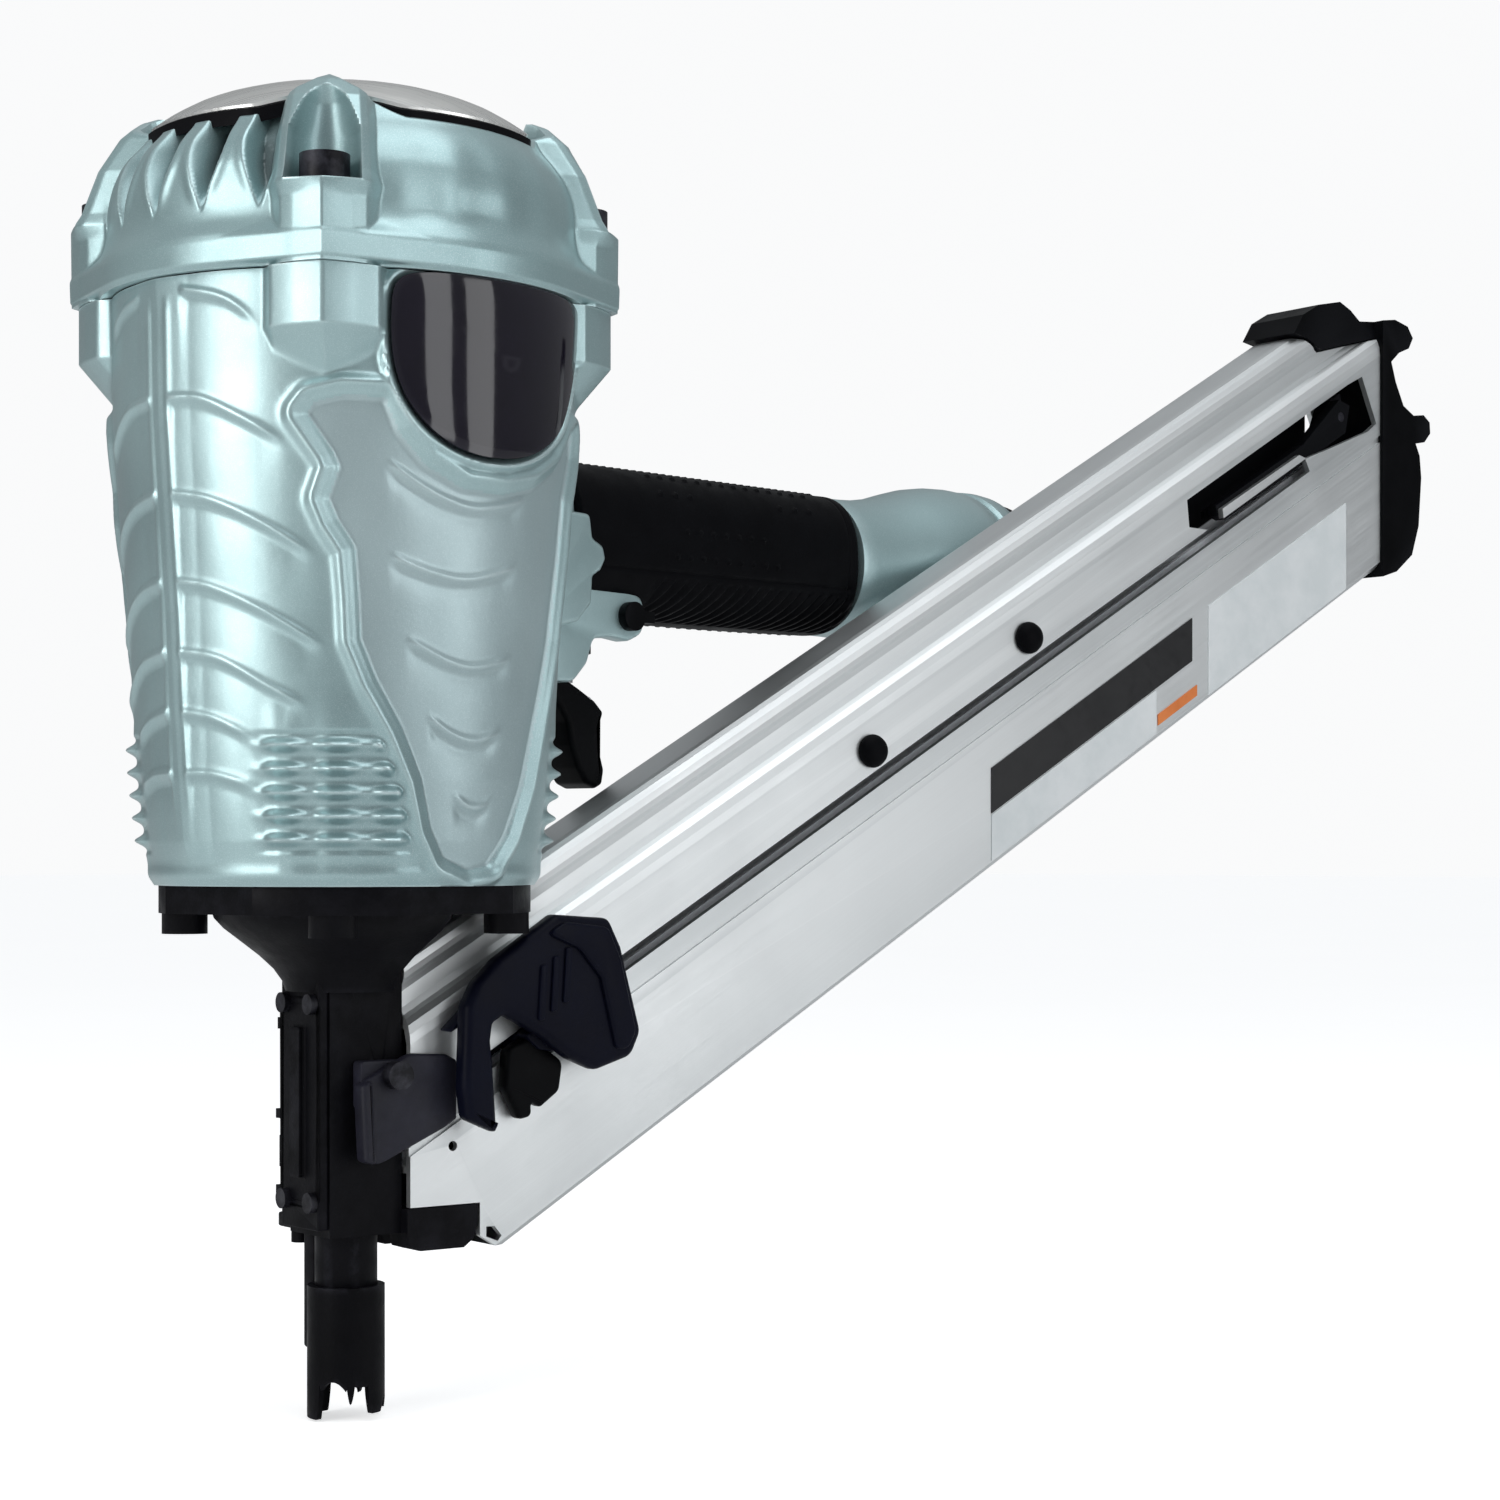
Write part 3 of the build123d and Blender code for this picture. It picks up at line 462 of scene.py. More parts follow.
def plastic(name, colour, tint, specular):
    m = new_shader(name)
    base = m.mix(m.spots(scale=45.0, detail=4.0, rough=0.6, over=(0.35, 0.65)), colour, tint)
    base = m.mix(m.times(m.edges(over=(0.53, 0.66)), 0.5), base, scaled(tint, 3, 0.004))
    sheen = m.spots(scale=90.0, detail=4.0, rough=0.6, over=(0.3, 0.7), to=(0.36, 0.50))
    normal = m.bump(m.noise(scale=2100.0, detail=2.0, rough=0.6), strength=0.25,
                    distance=0.00015)
    normal = m.bump(m.noise(scale=150.0, detail=3.0, rough=0.5), strength=0.08,
                    distance=0.0004, under=normal)
    return m.put(base=base, rough=sheen, metal=0.0, normal=normal, specular=specular)


def brushed(name, colour, axes, scale, rough, variation=0.10, line_depth=0.22):
    """Bare metal with fine lines; scale counts them along each of the axes."""
    m = new_shader(name)
    lines = m.noise(scale=1.0, detail=6.0, rough=0.62, vector=m.mapped(axes, scale))
    broad = m.noise(scale=1.0, detail=3.0, rough=0.5,
                    vector=m.mapped(axes, tuple(s * 0.18 for s in scale)))
    low = scaled(colour, 1 - variation)
    high = scaled(colour, 1 + variation)
    base = m.mix(m.remap(lines, over=(0.3, 0.7)), low, high)
    base = m.mix(m.remap(broad, over=(0.35, 0.65), to=(0.0, 0.35)), base, low)
    # painted shade: the metal turns darker in concave corners
    base = m.mix(m.times(m.hollows(over=(0.40, 0.49)), 0.4), base, scaled(colour, 0.35))
    base = m.mix(m.times(m.edges(over=(0.54, 0.66)), 0.5), base, (0.95, 0.96, 0.96))
    sheen = m.math("ADD", m.remap(lines, over=(0.3, 0.7), to=(rough - 0.05, rough + 0.08)),
                   m.spots(scale=30.0, detail=4.0, rough=0.6, over=(0.3, 0.7),
                           to=(-0.03, 0.05)))
    return m.put(base=base, rough=sheen, metal=1.0,
                 normal=m.bump(lines, strength=line_depth, distance=0.00012))


def rubber(name, colour, tint):
    m = new_shader(name)
    base = m.mix(m.spots(scale=60.0, detail=5.0, rough=0.65, over=(0.35, 0.68)), colour, tint)
    base = m.mix(m.times(m.edges(over=(0.53, 0.68)), 0.5), base, scaled(tint, 2.6))
    sheen = m.spots(scale=130.0, detail=4.0, rough=0.6, over=(0.3, 0.7), to=(0.42, 0.60))
    normal = m.bump(m.noise(scale=1700.0, detail=3.0, rough=0.6), strength=0.35,
                    distance=0.00015)
    return m.put(base=base, rough=sheen, metal=0.0, normal=normal, specular=0.05)


def gloss(name, colour, tint):
    m = new_shader(name)
    base = m.mix(m.spots(scale=25.0, detail=3.0, rough=0.5, over=(0.3, 0.7)), colour, tint)
    base = m.mix(m.times(m.edges(over=(0.54, 0.68)), 0.2), base, (0.12, 0.12, 0.14))
    sheen = m.spots(scale=220.0, detail=5.0, rough=0.7, over=(0.35, 0.75), to=(0.055, 0.11))
    normal = m.bump(m.noise(scale=160.0, detail=3.0, rough=0.5), strength=0.03,
                    distance=0.0003)
    return m.put(base=base, rough=sheen, metal=0.0, normal=normal, coat=0.22,
                 coat_rough=0.05)


def film(name, colour, tint, rough):
    """Printed label film."""
    m = new_shader(name)
    base = m.mix(m.spots(scale=80.0, detail=4.0, rough=0.6, over=(0.35, 0.65)), colour, tint)
    sheen = m.spots(scale=300.0, detail=4.0, rough=0.6, over=(0.3, 0.7),
                    to=(rough - 0.06, rough + 0.08))
    normal = m.bump(m.noise(scale=1500.0, detail=2.0, rough=0.5), strength=0.08,
                    distance=0.0001)
    return m.put(base=base, rough=sheen, metal=0.0, normal=normal)


def add_guide_strip(material):
    """A pale band along the guides, 47 to 58.5 mm across the rail frame (metres)."""
    m = Shader(material)
    across = m.math("ADD", m.dot(ACROSS), 0.012 * float(ACROSS[2]))
    band = m.times(m.remap(across, over=(0.0470, 0.0475)),
                   m.remap(across, over=(0.0585, 0.0580)))
    nylon = m.surface.inputs["Base Color"].links[0].from_socket
    m.put(base=m.mix(band, nylon, (0.85, 0.87, 0.90)))


# ---------------------------------------------------------------- the materials
BODY_PAINT = paint("body_paint", colour=(0.395, 0.550, 0.562), dark=(0.300, 0.430, 0.444),
                   light=(0.66, 0.78, 0.79), metal=0.68, rough=0.32)
# the cap paint carries the painted shade inside the gills
CAP_PAINT = paint("cap_paint", colour=(0.385, 0.545, 0.556), dark=(0.290, 0.425, 0.438),
                  light=(0.66, 0.78, 0.79), metal=0.68, rough=0.33, shade_gills=True)
RECESS_PAINT = paint("recess_paint", colour=(0.430, 0.545, 0.562),
                     dark=(0.350, 0.455, 0.472), light=(0.62, 0.72, 0.73), metal=0.60,
                     rough=0.36, grain=0.2)
BLACK = dark_cast("black_steel", colour=(0.0028, 0.0028, 0.0038),
                  worn=(0.020, 0.020, 0.026), rough=0.42, specular=0.07)
FOOT_BLACK = dark_cast("foot_steel", colour=(0.0022, 0.0022, 0.003),
                       worn=(0.035, 0.035, 0.045), rough=0.40, specular=0.07)
BOLT = dark_cast("bolt_steel", colour=(0.004, 0.004, 0.006), worn=(0.06, 0.06, 0.075),
                 rough=0.34, specular=0.2, metal=0.2, grain=0.1)
BLUE_BLACK = plastic("pusher_nylon", colour=(0.0020, 0.0024, 0.0075),
                     tint=(0.003, 0.0038, 0.011), specular=0.08)
NYLON = plastic("black_nylon", colour=(0.0010, 0.0012, 0.0016),
                tint=(0.002, 0.0022, 0.0030), specular=0.06)
RUBBER = rubber("black_rubber", colour=(0.0012, 0.0013, 0.0020),
                tint=(0.0024, 0.0026, 0.0036))
GASKET = rubber("gasket_rubber", colour=(0.002, 0.002, 0.0026), tint=(0.004, 0.004, 0.005))
ALUMINIUM = brushed("magazine_aluminium", colour=(0.61, 0.635, 0.64),
                    axes=(ALONG, ACROSS, SIDE), scale=(14.0, 2600.0, 2600.0), rough=0.43,
                    variation=0.05, line_depth=0.08)
PLAIN_ALUMINIUM = brushed("plain_aluminium", colour=(0.66, 0.67, 0.68), axes=None,
                          scale=(2200.0, 2200.0, 16.0), rough=0.3)
SILVER = brushed("plate_silver", colour=(0.86, 0.86, 0.83),
                 axes=((0.669, -0.743, 0), (0.743, 0.669, 0), (0, 0, 1)),
                 scale=(26.0, 1500.0, 60.0), rough=0.27, variation=0.08, line_depth=0.05)
STEEL = brushed("spring_steel", colour=(0.42, 0.42, 0.44), axes=None,
                scale=(600.0, 600.0, 600.0), rough=0.3)
GUIDE = plastic("guide_nylon", colour=(0.0010, 0.0012, 0.0016),
                tint=(0.002, 0.0022, 0.0030), specular=0.06)
add_guide_strip(GUIDE)
CLAMP = dark_cast("clamp_steel", colour=(0.0085, 0.0085, 0.015), worn=(0.03, 0.03, 0.045),
                  rough=0.5, specular=0.28)
BADGE = gloss("badge_gloss", colour=(0.0035, 0.003, 0.006), tint=(0.008, 0.006, 0.014))
FILM_DARK = film("film_dark", colour=(0.003, 0.003, 0.004), tint=(0.006, 0.006, 0.007),
                 rough=0.4)
FILM_PALE = film("film_pale", colour=(0.62, 0.66, 0.67), tint=(0.70, 0.73, 0.74), rough=0.5)
# a spare shade, on no piece
film("film_grey", colour=(0.42, 0.45, 0.46), tint=(0.48, 0.51, 0.52), rough=0.5)
FILM_ORANGE = film("film_orange", colour=(0.62, 0.16, 0.03), tint=(0.72, 0.21, 0.05),
                   rough=0.45)

# ---------------------------------------------------------------- cast casing skin
CASING_COLUMNS, CASING_ROWS = 600, 330
CASING_BOTTOM, CASING_TOP = 124.0, 270.9
MM_PER_DEGREE = math.pi / 180 * 56.0     # arc along the skin
BOLT_CIRCLE = 61.0                       # radius of the four cap bolts
BOSS_ANGLES = (45.0, 135.0, -45.0, -135.0)

# z, radius
CASING_PROFILE = np.array([(124, 47.9), (126, 48.6), (135, 50.5), (150, 52.3), (171, 53.8),
                           (190, 54.8), (238, 58.4), (271, 59.0)])
# recessed panel: angle, z, corner radius in mm
PANEL_CORNERS = [
    (-31, 241.2, 2), (-41.2, 241.4, 1.5), (-48.4, 239.6, 1.5), (-50.8, 236.4, 1.2),
    (-44.4, 227.0, 2), (-43.0, 223.8, 1.5), (-45.6, 216.4, 1.5), (-43.4, 211.0, 2),
    (-39.2, 204.6, 3), (-38.2, 192.5, 4), (-37.8, 183.0, 3), (-33.6, 173.2, 6),
    (-26.6, 161.7, 6), (-21.0, 149.7, 6), (-17.6, 137.7, 5), (-12.8, 130.2, 4),
    (-3.7, 126.8, 5), (5.4, 128.2, 4), (12.0, 136.0, 5), (17.4, 147.8, 6),
    (22.7, 165.4, 8), (29.6, 186, 8), (32.8, 206.4, 6), (33.8, 221.7, 5),
    (39.4, 232.6, 3), (37.0, 240.4, 3), (30.5, 236.5, 4), (24.0, 228.6, 6),
    (13.0, 222.8, 8), (1.5, 220.2, 8), (-10.5, 220.4, 8), (-21.0, 225.4, 6),
    (-27.6, 233.0, 5)]
PANEL = rounded([(a * MM_PER_DEGREE, z, r) for a, z, r in PANEL_CORNERS], steps=5)
# badge outline: angle, z
BADGE_OUTLINE = spline([
    (-28.6, 268.2), (-30.2, 259), (-29.2, 247.6), (-25.3, 238.6), (-18.0, 231.6),
    (-9.0, 228.2), (2.0, 228.2), (12.6, 231.6), (22.2, 238.6), (28.6, 250), (32.6, 262),
    (31.4, 269.0), (20.0, 270.6), (0.0, 271.0), (-20.0, 270.6)], steps=6)
# lines of the louvres on the flank and of the crescents in the panel: angle, z
FLANK_LOUVRES = [
    [(-82.5, 266.7), (-72, 264.5), (-65.5, 261.2), (-61, 257)],
    [(-87, 241.0), (-76.6, 240.1), (-65.7, 235.2), (-54.7, 229.0)],
    [(-87.4, 218.2), (-75, 216), (-61.5, 210.3), (-47.9, 202.3)],
    [(-87.1, 197), (-76.2, 195.3), (-62.1, 189.7), (-45.6, 180.5)],
    [(-87.7, 180.2), (-74, 178), (-59.9, 171.1), (-50, 166.4)],
    [(-87.6, 165.6), (-76.3, 163.7), (-64, 158.8)],
    [(-87.4, 150.6), (-76.7, 150.2), (-64, 147)]]
CRESCENTS = [
    [(-30.5, 224.8), (-22.4, 219.7), (-14.4, 216.2), (-5.7, 214.8), (5.9, 217.0), (12, 220)],
    [(-29.5, 202.6), (-19.2, 198.9), (-7.8, 197.6), (5.5, 200.8), (10, 203)],
    [(-24.5, 182.6), (-12.9, 177.6), (-3.6, 176.5), (9.4, 179.6)],
    [(-18.4, 164.2), (-10.7, 159.9), (-2.5, 158.7), (6.7, 161.6)],
    [(-9.8, 145.2), (-4.6, 142.6), (0.7, 142.8), (4.6, 145.4)]]
FIN_HEIGHTS = 135.2 + 5.7 * np.arange(5)
FIN_COLUMNS = ((-63.5, -50.5), (-49.0, -36.0), (-34.5, -21.5), (36.0, 47.5), (49.0, 60.5))
# rings that close the skin on the inside: radius, z
CASING_INSIDE = ((54.4, CASING_TOP), (50.0, 190.0), (44.5, 131.0), (14.2, 131.0),
                 (14.2, 124.05))


def turn_from(angle, centre):
    """Signed turn from centre, within half a circle."""
    return (angle - centre + 180) % 360 - 180


def fold(angle):
    """Mirror the +Y half on the -Y half: the casting is alike on both sides."""
    angle = turn_from(angle, 0.0)
    return np.where(np.abs(angle) > 90, np.where(angle > 0, 180 - angle, -180 - angle), angle)


def louvre(angle, z, line, depth, length, fade_in, fade_out):
    """A rounded bead along the line with a shallow step below it."""
    curve = spline(line, 8, closed=False)
    first, last = curve[0, 0], curve[-1, 0]
    span = last - first
    below = np.interp(angle, curve[:, 0], curve[:, 1]) - z
    share = window(angle, first - 0.5, first + min(fade_in, 0.5 * span),
                   last - min(fade_out, 0.5 * span), last + 0.5)
    length = min(length, 0.30 * span)
    depth *= min(1.0, span / 12.0)
    step = -depth * smoothstep(-0.6, 2.6, below) * np.exp(-np.clip(below, 0, None) / length)
    return (step + 0.75 * bell(below + 0.9, 1.05)) * share


def keel(angle, z):
    """Swelling down the -X line of the casting, with a flat strip between two beads."""
    off = np.abs(angle + 90)
    strip = 0.30 * bell(off - 3.4, 0.9) - 0.20 * (1 - smoothstep(2.2, 3.2, off))
    return (0.9 * np.clip(1 - off / 10.0, 0, 1) * smoothstep(126, 134, z)
            + window(z, 138, 152, 262, 268) * strip)


def cooling_fins(angle, z):
    """Level ribs near the bottom, crossed by broad upright pads."""
    fins = np.max([bell(z - height, 1.25) for height in FIN_HEIGHTS], axis=0)
    pads = np.max([window(angle, a - 0.2, a + 5.0, b - 5.0, b + 0.2)
                   for a, b in FIN_COLUMNS], axis=0)
    zone = window(angle, -67.5, -60.0, -26, -18) + window(angle, 33, 38, 58, 63)
    band = window(z, 131.5, 133.0, 160.6, 161.8)
    return zone * ((2.7 * fins * (0.42 + 0.58 * pads) - 0.55) * band
                   + 0.5 * pads * window(z, 118, 132, 160, 172))


def add_bosses(r, angle, z):
    """Two facets meeting in a crease at each cap bolt, running out into the wall."""
    for boss in BOSS_ANGLES:
        off = turn_from(angle, boss)
        chord = np.abs(BOLT_CIRCLE * np.sin(np.radians(np.clip(off, -80, 80))))
        facet = np.interp(chord, [0, 6.5, 12.6, 15.4, 19.0], [67.8, 65.4, 62.6, 58.2, 50.0])
        facet = facet - np.clip(256.5 - z, 0, 99) * 0.85
        r = np.where(np.abs(off) < 24, smooth_max(r, facet, 1.2), r)
    return r


def casing_radius(full_angle, z):
    """Radius of the wall, and 1 on the floor of the recessed panel."""
    angle = fold(full_angle)
    place = np.c_[angle * MM_PER_DEGREE, z]
    panel = signed_distance(place, PANEL)
    badge = signed_distance(place, BADGE_OUTLINE * [MM_PER_DEGREE, 1.0])
    r = np.interp(z, CASING_PROFILE[:, 0], CASING_PROFILE[:, 1]) + keel(angle, z)
    # flank details keep clear of the panel and the badge
    free = smoothstep(4.5, 6.5, panel) * smoothstep(3.2, 5.0, badge)
    louvres = sum(louvre(angle, z, line, depth=0.75, length=7.0, fade_in=2.0, fade_out=7.0)
                  for line in FLANK_LOUVRES)
    r = r + (louvres + cooling_fins(angle, z)) * free
    # raised rim, sunk floor and crescents of the panel
    r = r + bell(panel - 2.6, 1.75) * 1.75 * smoothstep(1.2, 3.4, badge)
    floor = smoothstep(0.2, -1.6, panel)
    r = r - 1.15 * floor
    crescents = sum(louvre(angle, z, line, depth=1.55, length=2.4, fade_in=3.0, fade_out=6.0)
                    for line in CRESCENTS)
    r = r + crescents * smoothstep(-1.0, -3.5, panel)
    # rim and seat of the badge
    r = r + bell(badge - 1.7, 1.15) * 2.1 * (1 - smoothstep(266, 271, z) * 0.6)
    r = r - 0.9 * smoothstep(0.3, -0.6, badge)
    r = add_bosses(r, full_angle, z)
    # soft bottom edge
    return r + 0.7 * bell(z - 126.5, 2.2), floor


def clear_magazine(wall):
    """Lift the lower rows of the wall over the top of the magazine."""
    from_origin = wall[:, :60] - ORIGIN
    across = from_origin @ ACROSS
    over = ((across < 98.8) & (np.abs(from_origin @ SIDE) < 15.2) & (from_origin @ RUN > 10))
    lift = np.maximum(0.0, (98.9 - across) / ACROSS[2])
    wall[:, :60, 2] += np.where(over, lift, 0.0)


def build_casing():
    columns = np.linspace(-180, 180, CASING_COLUMNS, endpoint=False)
    heights = np.linspace(CASING_BOTTOM, CASING_TOP, CASING_ROWS)
    angle, z = np.meshgrid(columns, heights, indexing="ij")
    radius, floor = casing_radius(angle.ravel(), z.ravel())
    wall = polar(radius.reshape(z.shape), angle, z)
    clear_magazine(wall)
    inside = [polar(r, columns, height)[:, None] for r, height in CASING_INSIDE]
    skin = np.concatenate([wall] + inside, axis=1)
    recessed = np.zeros(skin.shape[:2], int)
    recessed[:, :CASING_ROWS] = floor.reshape(z.shape) > 0.55
    make("casing_skin", grid(skin, close_u=True, close_v=True), "frame",
         (BODY_PAINT, RECESS_PAINT), "main_housing", smooth=50,
         face_materials=recessed.ravel())


build_casing()


# ---------------------------------------------------------------- blank glossy badges
def badge(side):
    """Shallow dome filling the badge outline, on the -Y side (1) or the +Y side (-1)."""
    centre = np.array([0.5, 251.0])      # angle, z
    rings = []
    for share in np.linspace(0, 1, 16):
        place = centre + (BADGE_OUTLINE - centre) * share
        crown = 60.35 + 0.75 * np.sqrt(np.clip(1 - (share * 0.97) ** 4, 0, 1))
        radius = crown + np.interp(place[:, 1], [228, 271], [-0.5, 0.35])
        rings.append(polar(radius, place[:, 0], place[:, 1]))
    rings.append(polar(58.6, BADGE_OUTLINE[:, 0], BADGE_OUTLINE[:, 1]))
    points = np.concatenate(rings) * [1, side, 1]
    return points, ring_faces(len(rings), len(BADGE_OUTLINE), start_cap=False)


make("badge_face", join([badge(1), badge(-1)]), "frame", (BADGE,), "badge",
     smooth=45)

# ---------------------------------------------------------------- head cap
CAP_COLUMNS = 960
CAP_BOTTOM = 270.98
BOLT_SEAT = 290.3
LIP_RADIUS, LIP_CORNER = 62.9, 69.9
GILL_ANGLES = (-60.0, -75.0, -90.0, -105.0, -120.0)
# z, radius of the round wall
CAP_PROFILE = np.array([
    (270.9, 61.6), (272.0, 62.7), (277.0, 63.1), (279.2, 62.6), (282.5, 60.9), (286, 60.2),
    (292, 60.0), (297, 59.2), (302, 57.2), (306, 54.4), (309, 51.6), (312, 50.0),
    (316, 48.0), (320, 45.5)])
# z, radius of the pillars round the bolts
PILLAR_PROFILE = np.array([(272.0, 69.6), (290.0, 69.8), (293.0, 67.9), (304.0, 63.8),
                           (312.6, 58.2), (317.5, 52.5), (320, 46.5)])
# rounding of the top rim: change of radius, rise over the top
CAP_RIM = ((-0.7, 0.35), (-2.4, 0.3), (-3.0, -1.2))
# rings inside the cap: radius, z
CAP_INSIDE = ((42.0, 304.0), (42.0, 300.5), (21.3, 300.5), (21.3, 292.0), (21.3, 290.1),
              (40.3, 290.0), (40.3, 277.0), (53.9, 277.0), (54.0, 272.0), (57.5, 271.3))


def from_boss(angle):
    """Signed turn from the nearest boss."""
    nearest = np.full(angle.shape, 99.0)
    for boss in BOSS_ANGLES:
        off = turn_from(angle, boss)
        nearest = np.where(np.abs(off) < np.abs(nearest), off, nearest)
    return nearest


def boss_arc(angle):
    """Arc from the nearest boss at a radius of 50 mm."""
    return np.abs(from_boss(angle)) * math.pi / 180 * 50


def soften(profile, sigma):
    """The profile resampled and blurred along its height."""
    heights = np.arange(profile[0, 0] - 6, profile[-1, 0] + 6, 0.1)
    radii = np.interp(heights, profile[:, 0], profile[:, 1])
    kernel = np.exp(-0.5 * (np.arange(-4 * sigma, 4 * sigma + 0.05, 0.1) / sigma) ** 2)
    kernel /= kernel.sum()
    padded = np.pad(radii, len(kernel) // 2, mode="edge")
    return heights, np.convolve(padded, kernel, mode="valid")[:len(heights)]


CAP_CRISP = soften(CAP_PROFILE, 0.35)
CAP_SOFT = soften(CAP_PROFILE, 1.3)


def cut_gills(r, angle, z):
    """Upright slots round the -X side, each between two faint beads."""
    width = 5.2 * smoothstep(281, 303, z) + 0.01
    depth = 12.0 * smoothstep(284.5, 299, z)
    for gill in GILL_ANGLES:
        off = turn_from(angle, gill)
        slot = np.clip(1 - (off / width) ** 2, 0, 1) ** 1.6 * (np.abs(off) < 6.5)
        beads = bell(off + width + 0.6, 1.7) + bell(off - width - 0.6, 1.7)
        r = r - depth * slot + 0.55 * beads * window(z, 285, 292, 303, 309)
    return r


def add_lip(r, off, z):
    """Lip band: flat flanks run from each corner and meet the round wall at a tangent."""
    band = window(z, 271.0, 272.2, 277.5, 284.0)
    tangent = np.degrees(np.arccos(LIP_RADIUS / LIP_CORNER))
    flank = LIP_RADIUS / np.cos(np.radians(tangent - np.clip(np.abs(off), 0, tangent)))
    lip = flank - 2.7 * (1 - band) + (r - LIP_RADIUS) * 0.6
    return np.where(band > 0, np.maximum(r, r * (1 - band) + lip * band), r)


def add_pillars(r, off, z):
    """Pillars round the bolts, channelled above the bolt seats."""
    chord = np.abs(BOLT_CIRCLE * np.sin(np.radians(np.clip(off, -60, 60))))
    near = np.abs(off) < 20
    low = np.interp(chord, [0, 6.5, 9.6, 12.5, 16.0], [0.0, 3.0, 4.9, 9.0, 15.0])
    high = np.interp(chord, [0, 8.4, 10.4, 12.6, 15.5], [0.0, 1.7, 3.6, 7.8, 14.0])
    upper = smoothstep(286, 291, z)
    pillar = (np.interp(z, PILLAR_PROFILE[:, 0], PILLAR_PROFILE[:, 1])
              - (low * (1 - upper) + high * upper))
    r = np.where(near, smooth_max(r, pillar, 1.0), r)
    half_width = np.interp(z, [BOLT_SEAT, 303, 311, 319.5], [8.3, 8.3, 6.2, 2.6])
    hollow = np.sqrt(np.clip(half_width ** 2 - chord * chord, 0, None))
    channel = BOLT_CIRCLE - hollow * np.interp(z, [BOLT_SEAT, 303, 319.5], [1.0, 1.05, 1.6])
    in_channel = (chord < half_width) & (z > BOLT_SEAT) & near
    return np.where(in_channel, np.minimum(r, channel), r)


def cap_radius(angle, z):
    upper = smoothstep(277.0, 281.0, z)
    r = np.interp(z, *CAP_CRISP) * (1 - upper) + np.interp(z, *CAP_SOFT) * upper
    # shallow upright flutes on the -Y and +Y flanks
    folded = fold(angle)
    fade = smoothstep(0, 0.35, np.clip(1 - np.abs(folded) / 34.0, 0, 1))
    flutes = np.sin(np.radians(folded * 180 / 14.5)) ** 2
    r = r - 0.40 * flutes * fade * window(z, 281, 286, 299, 308)
    off = from_boss(angle)
    return add_pillars(add_lip(cut_gills(r, angle, z), off, z), off, z)


def build_cap():
    columns = np.linspace(-180, 180, CAP_COLUMNS, endpoint=False)
    # the top rises to a peak over each bolt
    top = 309.2 + 10.0 * np.clip(1 - boss_arc(columns) / 18.5, 0, 1) ** 1.25
    # rows stop just below and start again just above the bolt seats, for a sharp shelf
    lower = np.linspace(CAP_BOTTOM, BOLT_SEAT - 0.05, 70)
    z = np.array([np.r_[lower, np.linspace(BOLT_SEAT + 0.05, peak, 80)] for peak in top])
    angle = np.repeat(columns[:, None], z.shape[1], 1)
    radius = cap_radius(angle.ravel(), z.ravel()).reshape(z.shape)
    rings = [polar(radius[:, -1] + change, columns, top + rise) for change, rise in CAP_RIM]
    rings += [polar(r, columns, height) for r, height in CAP_INSIDE]
    skin = np.concatenate([polar(radius, angle, z)] + [ring[:, None] for ring in rings], 1)
    make("cap_casting", grid(skin, close_u=True, close_v=True), "frame", (CAP_PAINT,),
         "head_cap", smooth=48)


build_cap()

# ---------------------------------------------------------------- exhaust plate and its gasket
# radius, z of the domed top
DOME = np.array([
    (0, 326.5), (8, 326.3), (16, 325.6), (24, 324.3), (30, 322.9), (36, 320.9), (40, 319.2),
    (44, 316.9), (47, 315.0), (49.4, 313.2), (50.6, 312.2)])


def dome(margin, lift, thickness):
    """Domed disc, notched at the four bosses."""
    columns = np.linspace(-180, 180, 360, endpoint=False)
    edge = 50.4 - 6.6 * np.clip(1 - boss_arc(columns) / 19.0, 0, 1) ** 1.05 + margin
    shares = np.linspace(0.02, 1, 26)
    rows = []
    for radii, drop in ([(edge * share, 0.0) for share in shares]
                        + [(edge * share - 0.25, thickness) for share in shares[::-1]]):
        height = np.interp(radii, DOME[:, 0], DOME[:, 1]) + lift - drop
        rows.append(polar(radii, columns, height))
    return closed_grid(rows)


make("exhaust_cover", dome(margin=0, lift=0, thickness=1.15), "frame", (SILVER,),
     "exhaust_plate", smooth=50)
make("exhaust_gasket", dome(margin=0.75, lift=-1.0, thickness=3.6), "frame", (GASKET,),
     "plate_gasket", smooth=50)

# ---------------------------------------------------------------- handle casting
HANDLE_Z = 218.4
HANDLE_BORE = 12.6
# core and flared end: x, half width, half height, power of the superellipse
HANDLE_CORE = [
    (50, 15.3, 17.5, 2.1), (98, 15.3, 17.5, 2.1), (184, 15.3, 17.5, 2.1),
    (184.2, 19.4, 20.4, 2.1), (186, 20.0, 20.8, 2.1), (191, 20.2, 20.9, 2.05),
    (199, 20.8, 21.3, 2.0), (208, 22.3, 22.6, 2.0), (217, 24.8, 25.0, 2.0),
    (225, 26.8, 26.9, 2.0), (233, 27.9, 28.0, 2.0), (240, 28.2, 28.3, 2.0),
    (246.5, 27.9, 28.0, 2.0), (247.5, 27.1, 27.2, 2.0), (249.5, 27.0, 27.1, 2.0),
    (250.5, 28.1, 28.2, 2.0), (254, 28.3, 28.3, 2.0), (257.5, 28.0, 28.0, 2.0),
    (258.5, 27.0, 27.0, 2.0), (261.9, 26.4, 26.4, 2.0), (262, 26.0, 26.0, 2.0)]
# root block at the casing: the same columns, then the centre's z
HANDLE_ROOT = [
    (46, 19.5, 22.5, 3.2, 219.0), (56, 18.8, 22.0, 3.2, 219.0), (62, 18.2, 21.4, 3.2, 219.0),
    (65.0, 17.2, 20.4, 3.2, 218.8), (65.8, 16.6, 19.6, 3.0, 218.6)]
